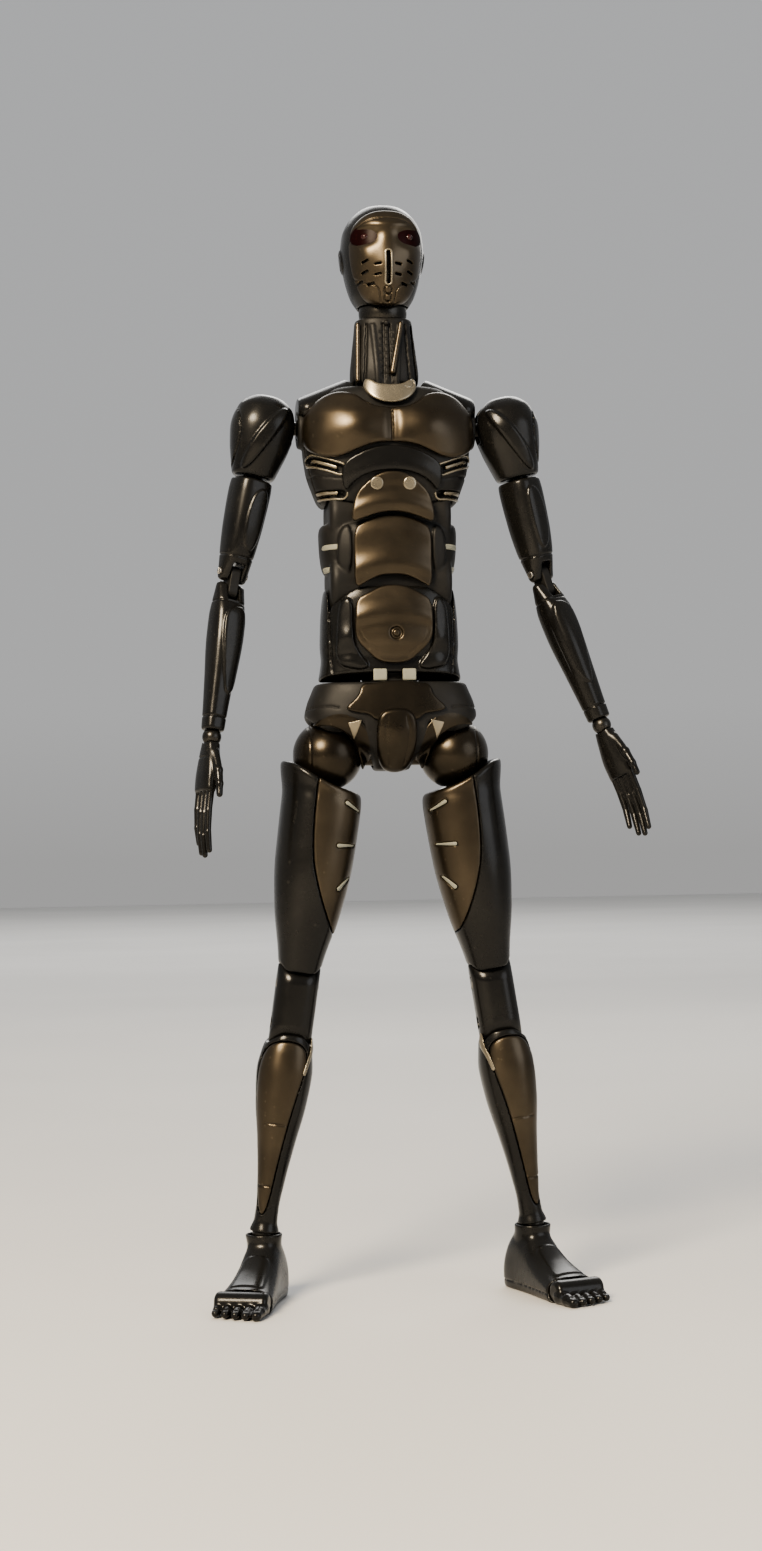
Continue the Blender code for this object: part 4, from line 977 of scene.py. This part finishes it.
def arm(side, s):
    def part(name, body, *rest):
        build(name + "_" + side, body + "_" + side, *rest)

    def axle(p):
        d = drum(p, 0, (-s * 14.7, 0, 0), 3, 5.3, 0.4)
        d = smin(d, drum(p, 0, (-s * 6, 0, 0), 1.8, 5), 0.6)
        return smin(d, ball(p, 4.6), 0.3)
    part("shoulder_joint", "shoulder", JOINT, *sided(s, (-20.6, -5.2, -5.2), (5.2, 5.2, 5.2)), axle,
        0.3)

    def cap(p):
        d = loft(p, CAP, -14, 9.3, 2.25, 1.1)
        skin = tube(p, CAP, 2.25)
        q = flipped(p, s)
        d = panel(d, skin, q, [(-6.6, 4.8), (-4.4, 6.4), (-0.6, 1.6), (3.2, -6), (4.6, -12.8),
            (2.2, -12.8), (-1.4, -6.4)], p[1] + 1, 0.85, 0.9)
        d = groove(d, skin, q, [(7.9, 4), (5.6, -3), (6.4, -13.5)], p[1], 0.2, 0.4)
        d = panel(d, skin, q, [(-4, 4.4), (2, 5), (5, -2), (3, -9), (-2, -7)], -p[1] + 1, 0.5, 0.8)
        d = cut(d, ball(p, 5.1), 0.25)
        turned = np.arctan2(p[2], -q[0])
        reach = np.hypot(p[0], p[2])
        lo, hi = radians(-14), radians(96)
        wedge = both((lo - turned) * reach, (turned - hi) * reach)
        slot = smax(abs(p[1]) - 2.25, both(wedge, 1 - reach), 0.3)
        d = cut(d, slot, 0.4)
        return both(d, -drum(p, 2, (0, 0, -14), 2.95, 6.4))
    part("shoulder_cap", "shoulder_cap", SHELL, (-9.8, -10.4, -15), (9.8, 10, 10), cap, 0.3)

    def upper(p):
        d = loft(p, UPPER_ARM, -43.35, -14.6, 2.7, 0.9)
        skin = tube(p, UPPER_ARM, 2.7)
        q = flipped(p, s)
        d = panel(d, skin, q, [(-3.6, -17), (0.6, -17.2), (2.2, -24), (1.4, -33), (-1.6, -35.2),
            (-3.4, -30)], p[1] + 1, 0.45, 0.5)
        ring = abs(p[2] + 36.3)
        d = engrave(d, skin, ring, 0.2, 0.35)
        d = smin(d, drum(p, 2, (0, 0, -13), 2.6, 5), 0.2)
        boss = np.hypot(p[1], p[2] + ELBOW_TOP)
        d = cut(d, brick(p, (0, 0, -44.2), (1.8, 12, 6), 0.4), 0.2)
        return both(d, 1.12 - boss)
    part("upper_arm", "upper_arm", SHELL, (-6.6, -6.9, -44.2), (6.6, 6.6, -7.4), upper, 0.27)

    def pin(p):
        d = drum(p, 0, (0, 0, -ELBOW_TOP), 1, 4.45)
        return cut(d, brick(p, (s * 4.6, 0, -ELBOW_TOP), (0.5, 0.16, 2), 0.1), 0.1)
    part("elbow_pin", "upper_arm", STEEL, (-4.9, -1.4, -42.4), (4.9, 1.4, -39.6), pin, 0.14)

    def link(p):
        t = np.clip(-p[2] / ELBOW_SPAN, 0, 1)
        r = np.hypot(p[1], p[2] + t * ELBOW_SPAN)
        d = smax(r - 2.2, abs(p[0]) - 1.45, 0.35)
        for z in (0, -ELBOW_SPAN):
            hole = np.hypot(p[1], p[2] - z)
            d = both(d, 1.14 - hole)
        return d
    part("elbow_link", "elbow", CORE, (-1.9, -2.6, -7.6), (1.9, 2.6, 2.6), link, 0.16)

    def fore(p):
        d = loft(p, LOW_ARM, -39.3, 2.25, 2.7, 0.8)
        skin = tube(p, LOW_ARM, 2.7)
        q = flipped(p, s)
        d = panel(d, skin, q, [(-4.9, -4.4), (1.6, -5), (3, -10), (1.2, -22), (-0.8, -30.5),
            (-4.4, -26)], p[1] + 0.6, 0.5, 0.45)
        d = engrave(d, skin, abs(p[2] + 35.6), 0.2, 0.35)
        d = engrave(d, skin, abs(p[2] + 3.4), 0.16, 0.3)
        d = cut(d, brick(p, (0, 0, 3.4), (1.8, 12, 6.2), 0.4), 0.2)
        d = smin(d, drum(p, 0, (0, 0, 0), 1, 2.6, 0.2), 0.1)
        d = cut(d, ball(p, 2.85, (0, 0, -FOREARM)), 0.2)
        return both(d, -drum(p, 2, (0, 0, -37.5), 1.5, 4.5))
    part("forearm", "forearm", SHELL, (-5.6, -5.7, -40.2), (5.6, 5.4, 3), fore, 0.27)

    def wrist(p):
        return smin(ball(p, 2.6), drum(p, 2, (0, 0, 4), 1.15, 3.4, 0.2), 0.3)
    part("wrist_ball", "wrist", JOINT, (-3, -3, -3), (3, 3, 7.8), wrist, 0.17)

    def hand(p):
        palm = [(-1.1, 2.1, 2.5), (-5, 2.2, 3.4), (-11, 2.2, 4.3), (-15.6, 1.9, 4.2)]
        d = loft(p, palm, -15.4, -1.2, 2.6, 1)
        c = -s
        for k in range(4):
            y = -3.15 + 2.1 * k
            reach = (17, 18.2, 17.4, 14.6)[k]
            joints = [(0, y, -14), (c * 0.1, y, -14.2 - reach * 0.38),
                (c * 0.7, y, -14.2 - reach * 0.72), (c * 1.8, y, -14.2 - reach)]
            finger = None
            for i, (a, b) in enumerate(zip(joints, joints[1:])):
                bone = bar(p, a, b, 1.04 - 0.06 * i, 0.94 - 0.1 * i)
                finger = bone if finger is None else smin(finger, bone, 0.12)
            d = smin(d, finger, 0.45)
        thumb = [(c * 0.1, -2.4, -4.6), (c * 0.7, -4.8, -9.6), (c * 1, -5.8, -13.4),
            (c * 1.2, -6.2, -16.3)]
        for i, (a, b) in enumerate(zip(thumb, thumb[1:])):
            d = smin(d, bar(p, a, b, 1.4 - 0.2 * i, 1.15 - 0.15 * i), 0.5)
        back = both(abs(p[1] - 0.2) - 2.6, c * p[0])
        d = engrave(d, tube(p, palm, 2.6), both(abs(p[2] + 6), back), 0.18, 0.25)
        return cut(d, ball(p, 2.85), 0.2)
    part("hand", "hand", SHELL, (-4.2, -7.8, -33.4), (4.2, 5, -0.6), hand, 0.22)


# ---------------------------------------------------------------- legs
THIGH = [(6, 6.6, 6.4, 5.4, 0.2), (4, 7.5, 7, 4.5, 0.2), (0, 8.7, 8.2, 2.9, 0.2),
    (-4, 9.8, 9.3, 1.6, 0.2), (-8, 10.6, 10.2, 0.7, 0.1), (-14, 10.9, 10.8, 0.1, 0),
    (-29, 10.6, 10.6, 0, 0), (-43.5, 8.9, 9.2, 0, 0), (-54.6, 6.5, 7.2, 0, 0),
    (-60.4, 5.5, 6.1, 0, 0)]
CALF = [(-2, 5.4, 5.8, 0, 0.2), (-8, 7, 7.4, 0.2, 0.6), (-13, 7.6, 8.1, 0.2, 0.9),
    (-21, 7, 7.6, 0.1, 0.7), (-32, 5.2, 5.8, 0, 0.3), (-43, 3.7, 4.1, 0, 0), (-50, 3.1, 3.3, 0, 0),
    (-56, 3.3, 3.4, 0, 0)]
ANKLE_R, KNEE_R, KNEE_CUP_R, KNEE_BORE_R = 3.15, 5.3, 5.72, 1.7
FOOT = [(10, 2.8, 5.4), (8.8, 4.4, 11), (6, 5, 15.4), (1.5, 5.2, 18.6), (-3, 5.5, 16.6),
    (-8, 6, 12.4), (-13, 6.6, 9.3), (-19, 7.4, 7), (-23, 7.8, 6.2)]


SLITS = [((-9.7, -14.3), (-6.1, -12.6)), ((-9.6, -23.8), (-5.3, -24.4)), ((-9.4, -32.8), (-7, -36))]
THIGH_TOP = [(-17, -66), (-17, -10.6), (-8, -9.4), (-2, -8.4), (3, -6.6), (7.5, -4.2), (11, -3),
    (17, -2.8), (17, -66)]


def teardrop(p, a, b, grow):
    """Flat distance to a drop that swells from one end of a line to the other."""
    flat = np.stack([p[0], 0 * p[1], p[2]])
    return bar(flat, (a[0], 0, a[1]), (b[0], 0, b[1]), 0.26 + grow, 0.56 + grow)


def foot_tube(p, rings):
    keys = [r[0] for r in rings]
    y1 = p[1, 0, :, 0]
    half = spline(keys, [r[1] for r in rings], y1)[None, :, None]
    high = spline(keys, [r[2] for r in rings], y1)[None, :, None]
    x = p[0]
    z = p[2] + ANKLE_HIGH - 0.35 * high
    q = ((abs(x) / half) ** 2.4 + (abs(z) / (0.65 * high)) ** 2.4) ** (1 / 2.4)
    r = np.hypot(x, z)
    return r * (1 - 1 / both(q, 1e-3))


def leg(side, s):
    def part(name, body, *rest):
        build(name + "_" + side, body + "_" + side, *rest)

    rings = [(r[0], r[1], r[2], s * r[3], r[4]) for r in THIGH]
    calf_rings = [(r[0], r[1], r[2], s * r[3], r[4]) for r in CALF]

    def hip(p):
        d = ball(p, BALL_R)
        d = smin(d, drum(p, 0, (-s * 9.9, 0, 0), 3, 3.9), 0.4)
        d = engrave(d, ball(p, BALL_R), abs(p[0] - s * 5.4), 0.16, 0.25)
        turned = np.degrees(np.arctan2(s * p[0], -p[2]))
        reach = np.hypot(p[0], p[2])
        wedge = both(-19 - turned, turned - 63) * reach * pi / 180
        wedge = np.minimum(wedge, reach - 5)
        return cut(d, smax(abs(p[1]) - 2.3, wedge, 0.2))
    part("hip_ball", "hip", BALL, *sided(s, (-14.2, -9.6, -9.6), (9.5, 9.6, 9.6)), hip, 0.3)

    def femur(p):
        d = drum(p, 2, (0, 0, -5.5), 1.9, 5.4, 0.2)
        d = smin(d, drum(p, 2, (0, 0, -17.2), 3, 6.8, 0.4), 0.5)
        eye = smax(np.hypot(p[0], p[2]) - 4.5, abs(p[1]) - 1.95, 0.4)
        return smin(d, eye, 0.4)
    part("femur", "femur", STEEL, (-5, -3.5, -24.6), (5, 3.5, 5), femur, 0.33)

    seam = [(s * x, z) for x, z in ((-16, -6.8), (-8, -6.4), (-3, -3.4), (0.4, -2.2), (2.6, -3.4),
        (2.5, -16), (1.4, -28), (-1.2, -36), (-4.4, -43), (-8.4, -50), (-16, -50))]

    def thigh_skin(p):
        return smin(tube(p, rings, ROUND_N), egg(p, (s * 0.6, 0, -2), (11.9, 11.9, 12.2)), 2.5)

    def thigh_base(p):
        d = smax(thigh_skin(p), ends(p, -60.2, 7.4), 1)
        q = flipped(p, s)
        d = smax(d, outline(q, THIGH_TOP), 1.6)
        return cut(d, ball(p, SOCKET_R), 0.4)

    def thigh(p):
        d = thigh_base(p)
        skin = thigh_skin(p)
        plate = outline(p, seam)
        pocket = both(plate - 0.22, -(skin + 1.15), p[1])
        d = cut(d, pocket, 0.25)
        q = flipped(p, s)
        d = groove(d, skin, q, [(6.8, 2), (7.6, -14), (6.6, -34), (4.4, -52), (3, -62)], -p[1], 0.2,
            0.4)
        d = groove(d, skin, q, [(-9, -8), (-3, -12), (4, -12), (10, -8)], 1 - p[1], 0.2, 0.4)
        hollow = np.hypot(p[1], p[2] + KNEE_TOP)
        d = smax(d, KNEE_CUP_R - hollow, 0.3)
        d = smax(d, 3.3 - KNEE_TOP - p[2], 0.4)
        tongue = brick(p, (0, 0.15, -57.6), (2.4, 2.75, 5.8))
        eye = smax(hollow - 4, abs(p[0]) - 2.4, 0.3)
        d = smin(d, smin(tongue, eye, 0.3), 0.2)
        d = both(d, KNEE_BORE_R - hollow)
        return both(d, -drum(p, 2, (0, 0, -16.2), BORE_R, 8.3))
    part("thigh_shell", "thigh", SHELL, (-15.4, -13.2, -68), (15.4, 13.2, 8.4), thigh, 0.38)

    def inner(p):
        base = thigh_base(p)
        skin = thigh_skin(p)
        d = smax(smax(base - 0.15, outline(p, seam), 0.45), -(skin + 0.95), 0.2)
        d = smax(d, p[1] + 0.4, 0.4)
        q = flipped(p, s)
        for a, b in SLITS:
            mark = both(teardrop(q, a, b, 0.12), p[1] - 1)
            d = cut(d, smax(mark, -(skin + 0.35), 0.1), 0.15)
        return d
    part("thigh_inner_plate", "thigh", PLATE, (-13, -13.2, -51.5), (13, 1.2, 0.5), inner, 0.3,
        "bronze_plate")

    for i, (a, b) in enumerate(SLITS):
        def slit(p):
            skin = thigh_skin(p)
            q = flipped(p, s)
            d = smax(smax(teardrop(q, a, b, 0), skin - 0.35, 0.35), -(skin + 0.3), 0.1)
            return both(d, p[1] - 1)
        xs = sorted((s * a[0], s * b[0]))
        zs = sorted((a[1], b[1]))
        build("thigh_slit_%s_%d" % (side, i), "thigh_" + side, PALE,
            (xs[0] - 0.9, -11.6, zs[0] - 0.9), (xs[1] + 0.9, 1.2, zs[1] + 0.9), slit, 0.16)

    def pin(p):
        d = drum(p, 0, (0, 0, -KNEE_TOP), 1.55, 5.85, 0.4)
        return cut(d, brick(p, (s * 6, 0, -KNEE_TOP), (0.5, 0.2, 3), 0.1), 0.1)
    part("knee_pin", "thigh", STEEL, (-6.3, -2, -65.3), (6.3, 2, -61.3), pin, 0.16)

    def link(p):
        t = np.clip(-p[2] / KNEE_SPAN, 0, 1)
        r = np.hypot(p[1], p[2] + t * KNEE_SPAN)
        x = p[0]
        deep = np.sqrt(both(KNEE_R ** 2 - (p[2] + t * KNEE_SPAN) ** 2, 0.01))
        q = ((abs(x) / 5.9) ** 2.5 + (abs(p[1]) / deep) ** 2.5) ** 0.4
        flat = np.hypot(x, p[1]) * (1 - 1 / both(q, 1e-3))
        d = smax(smax(r - KNEE_R, abs(x) - 5.9, 0.5), flat, 0.3)
        for z, top in ((0, 1), (-KNEE_SPAN, -1)):
            hollow = np.hypot(p[1], p[2] - z)
            d = cut(d, both(hollow - 4.35, abs(x) - 2.75), 0.2)
            slot = brick(p, (0, 3, z + top * 4.5), (2.75, 6, 4.6))
            d = cut(d, slot, 0.2)
            d = both(d, KNEE_BORE_R - hollow)
        return d
    part("knee_link", "knee", SHELL, (-6.2, -6.4, -17.2), (6.2, 6, 6.2), link, 0.25)

    guard = [(s * x, z) for x, z in ((-1.6, -4.4), (4.6, -4.8), (7.2, -9), (7.6, -18), (5.8, -32),
        (3.8, -45), (2, -52.5), (0.4, -50), (-0.6, -38), (-2.2, -24), (-4.6, -12), (-4.8, -6.8))]

    def calf(p):
        d = loft(p, calf_rings, -55.6, -2.2, ROUND_N, 1)
        skin = tube(p, calf_rings, ROUND_N)
        pocket = both(outline(p, guard) - 0.2, -(skin + 1), p[1] + 1)
        d = cut(d, pocket, 0.25)
        q = flipped(p, s)
        rear = trail(q, [(0, -5), (0, -40)], 0)
        d = engrave(d, skin, both(rear, 2 - p[1]), 0.2, 0.4)
        hollow = np.hypot(p[1], p[2])
        d = smax(d, KNEE_CUP_R - hollow, 0.3)
        d = smax(d, p[2] + 2.6, 0.3)
        tongue = brick(p, (0, 0.15, -5.6), (2.4, 2.75, 5.6))
        eye = smax(hollow - 4, abs(p[0]) - 2.4, 0.3)
        d = smin(d, smin(tongue, eye, 0.3), 0.2)
        d = smin(d, drum(p, 0, (0, 0, 0), 1.5, 5.45), 0.1)
        cup = smax(ball(p, ANKLE_R + 0.95, (0, 0, -SHANK)), -SHANK + 0.5 - p[2], 0.3)
        return smax(smin(d, cup, 0.8), -ball(p, ANKLE_R + AIR, (0, 0, -SHANK)), 0.15)
    part("calf_shell", "shank", SHELL, (-8.6, -8.8, -SHANK - 0.4), (8.6, 9.8, 4.8), calf, 0.3)

    def shin(p):
        skin = tube(p, calf_rings, ROUND_N)
        d = smax(smax(skin - 0.25, outline(p, guard), 0.45), -(skin + 0.8), 0.2)
        d = smax(d, p[1] + 1.4, 0.3)
        hollow = np.hypot(p[1], p[2])
        d = smax(d, 5.75 - hollow, 0.2)
        for z in (-27, -44):
            wide = both(abs(p[0] - s * 1.2) - 3, abs(p[2] - z))
            d = engrave(d, skin - 0.25, wide, 0.18, 0.3)
        return d
    part("shin_guard", "shank", PLATE, (-8.2, -9, -53.4), (8.2, -1, -3.6), shin, 0.27)

    # a thin light bronze strip along the calf's inner top edge: a painted glint
    def painted_calf_glint(p):
        skin = tube(p, calf_rings, ROUND_N)
        line = trail(p, [(-s * 6, -3.2), (-s * 6.2, -6.4), (-s * 5.2, -9.6),
            (-s * 4.6, -12.6)]) - 0.48
        return smax(smax(line, skin - 0.45, 0.25), both(-(skin + 0.3), p[1] + 1), 0.1)
    part("calf_painted_glint", "shank", BRIGHT, *sided(s, (-7.4, -8.8, -13.6), (-3.6, -0.6, -2.4)), painted_calf_glint,
        0.16)

    part("ankle_ball", "ankle", JOINT, (-4.2, -4.2, -4.2), (4.2, 4.2, 4.2),
        lambda p: ball(p, ANKLE_R), 0.2)

    def foot(p):
        d = foot_tube(p, FOOT)
        skin = d
        d = smax(d, both(-23.6 - p[1], p[1] - 9.8), 1.2)
        d = smax(d, -ANKLE_HIGH - p[2], 0.5)
        y = p[1]
        instep = smax(abs(p[0]) - (3 - 0.09 * y), abs(y + 13.2) - 6, 1.4)
        instep = both(instep, -ANKLE_HIGH + 4 - p[2])
        d = emboss(d, skin, instep, 0.4, 0.5)
        d = engrave(d, skin, abs(p[2] + ANKLE_HIGH - 2.2), 0.18, 0.35)
        d = smax(d, p[2] + 1, 1.2)
        cuff = smax(ball(p, ANKLE_R + 1.85), abs(p[2] + 2.6) - 2.7, 0.5)
        d = smin(d, cuff, 2.2)
        d = cut(d, smax(ball(p, ANKLE_R + 1.2), -1.9 - p[2], 0.4), 0.2)
        d = cut(d, ball(p, ANKLE_R + AIR), 0.2)
        toe = np.hypot(p[1] - TOE_Y, p[2] - TOE_UP + ANKLE_HIGH)
        return smax(d, 3.35 - toe, 0.3)
    part("foot", "foot", SHELL, (-8.6, -24.6, -ANKLE_HIGH - 0.4), (8.6, 10.8, 0.9), foot, 0.3)

    def toes(p):
        d = smax(np.hypot(p[1], p[2]) - 2.9, abs(p[0]) - 7.3, 1.6)
        for k in range(5):
            x = s * (-5.9 + 2.95 * k)
            r = (1.62, 1.34, 1.28, 1.24, 1.18)[k]
            long = (9.1, 8.8, 8.2, 7.3, 6.2)[k]
            tip = -long + r * 0.9
            toe = bar(p, (x, -1, 1.7 - TOE_UP), (x, tip * 0.62, 1.75 - TOE_UP), r, r)
            toe = smin(toe, bar(p, (x, tip * 0.62, 1.75 - TOE_UP), (x, tip, 1.35 - TOE_UP), r,
                r * 0.86), 0.4)
            nail = egg(p, (x, tip - 0.1, 1.35 - TOE_UP + r * 0.92), (r * 0.6, 1, 0.35))
            toe = smax(toe, -nail, 0.12)
            d = smin(d, toe, 0.9)
        return smax(d, -TOE_UP - p[2], 0.25)
    part("toes", "toes", SHELL, (-8.2, -10.2, -3.8), (8.2, 3.6, 3.6), toes, 0.22)


for side, s in SIDES:
    arm(side, s)
    leg(side, s)


# ---------------------------------------------------------------- floor, light, camera
def floor():
    size = 6
    mesh = bpy.data.meshes.new("floor")
    mesh.from_pydata([(-size, -size, 0), (size, -size, 0), (size, size, 0), (-size, size, 0)], [],
        [(0, 1, 2, 3)])
    mat, tree, bsdf = shader("pale_floor", 0.75, 0)
    tone = ramp(tree, noise(tree, 3, 2), [(0.3, (0.6, 0.59, 0.57)), (0.7, (0.64, 0.63, 0.61))])
    tree.links.new(tone, bsdf.inputs["Base Color"])
    mesh.materials.append(mat)
    add_object("floor", mesh)


def lamp(name, at, aim, size, power, colour):
    data = bpy.data.lights.new(name, "AREA")
    data.shape = "DISK"
    data.size = size
    data.energy = power
    data.color = colour
    obj = add_object(name, data)
    obj.location = at
    obj.rotation_euler = (Vector(aim) - Vector(at)).to_track_quat("-Z", "Y").to_euler()


floor()
HORIZON = (0.56, 0.555, 0.55)
world = bpy.data.worlds.new("studio")
world.use_nodes = True
sky = world.node_tree
level = sky.nodes.new("ShaderNodeSeparateXYZ")
sky.links.new(sky.nodes.new("ShaderNodeTexCoord").outputs["Generated"], level.inputs[0])
dome = ramp(sky, level.outputs["Z"], [(0, HORIZON), (0.06, (0.66, 0.66, 0.66)),
    (0.5, (0.66, 0.67, 0.685))])
sky.links.new(dome, sky.nodes["Background"].inputs["Color"])
sky.links.new(span(sky, level.outputs["Y"], -0.85, -0.05, 0.4, 0.62),
    sky.nodes["Background"].inputs["Strength"])
bpy.context.scene.world = world
lamp("key", (-0.62, -0.95, 0.85), (0, 0, 0.18), 0.5, 34, (1, 0.84, 0.62))
lamp("fill", (0.95, -0.95, 0.45), (0, 0, 0.15), 0.9, 4, (0.92, 0.95, 1))
lamp("rim", (0.35, 0.95, 0.85), (0, 0, 0.18), 0.8, 3, (1, 0.97, 0.92))

lamp("sweep", (0.2, 2.7, 2.1), (0.2, 2.6, 0), 2.6, 45, (1, 0.99, 0.97))

CAM_AT = Vector((-0.0987, -0.6678, 0.12))
CAM_AIM = Vector((-0.0103, 0.004, 0.1421))
camera_data = bpy.data.cameras.new("camera")
camera_data.lens = 57.5
camera_data.sensor_width = 36
camera_data.sensor_fit = "AUTO"
camera = add_object("camera", camera_data)
look = (CAM_AIM - CAM_AT).to_track_quat("-Z", "Y").to_matrix().to_4x4()
roll = Matrix.Rotation(radians(-1), 4, "Z")
camera.matrix_world = Matrix.Translation(CAM_AT) @ look @ roll
bpy.context.scene.camera = camera
bpy.context.scene.view_settings.view_transform = "AgX"
bpy.context.scene.view_settings.look = "AgX - Medium High Contrast"
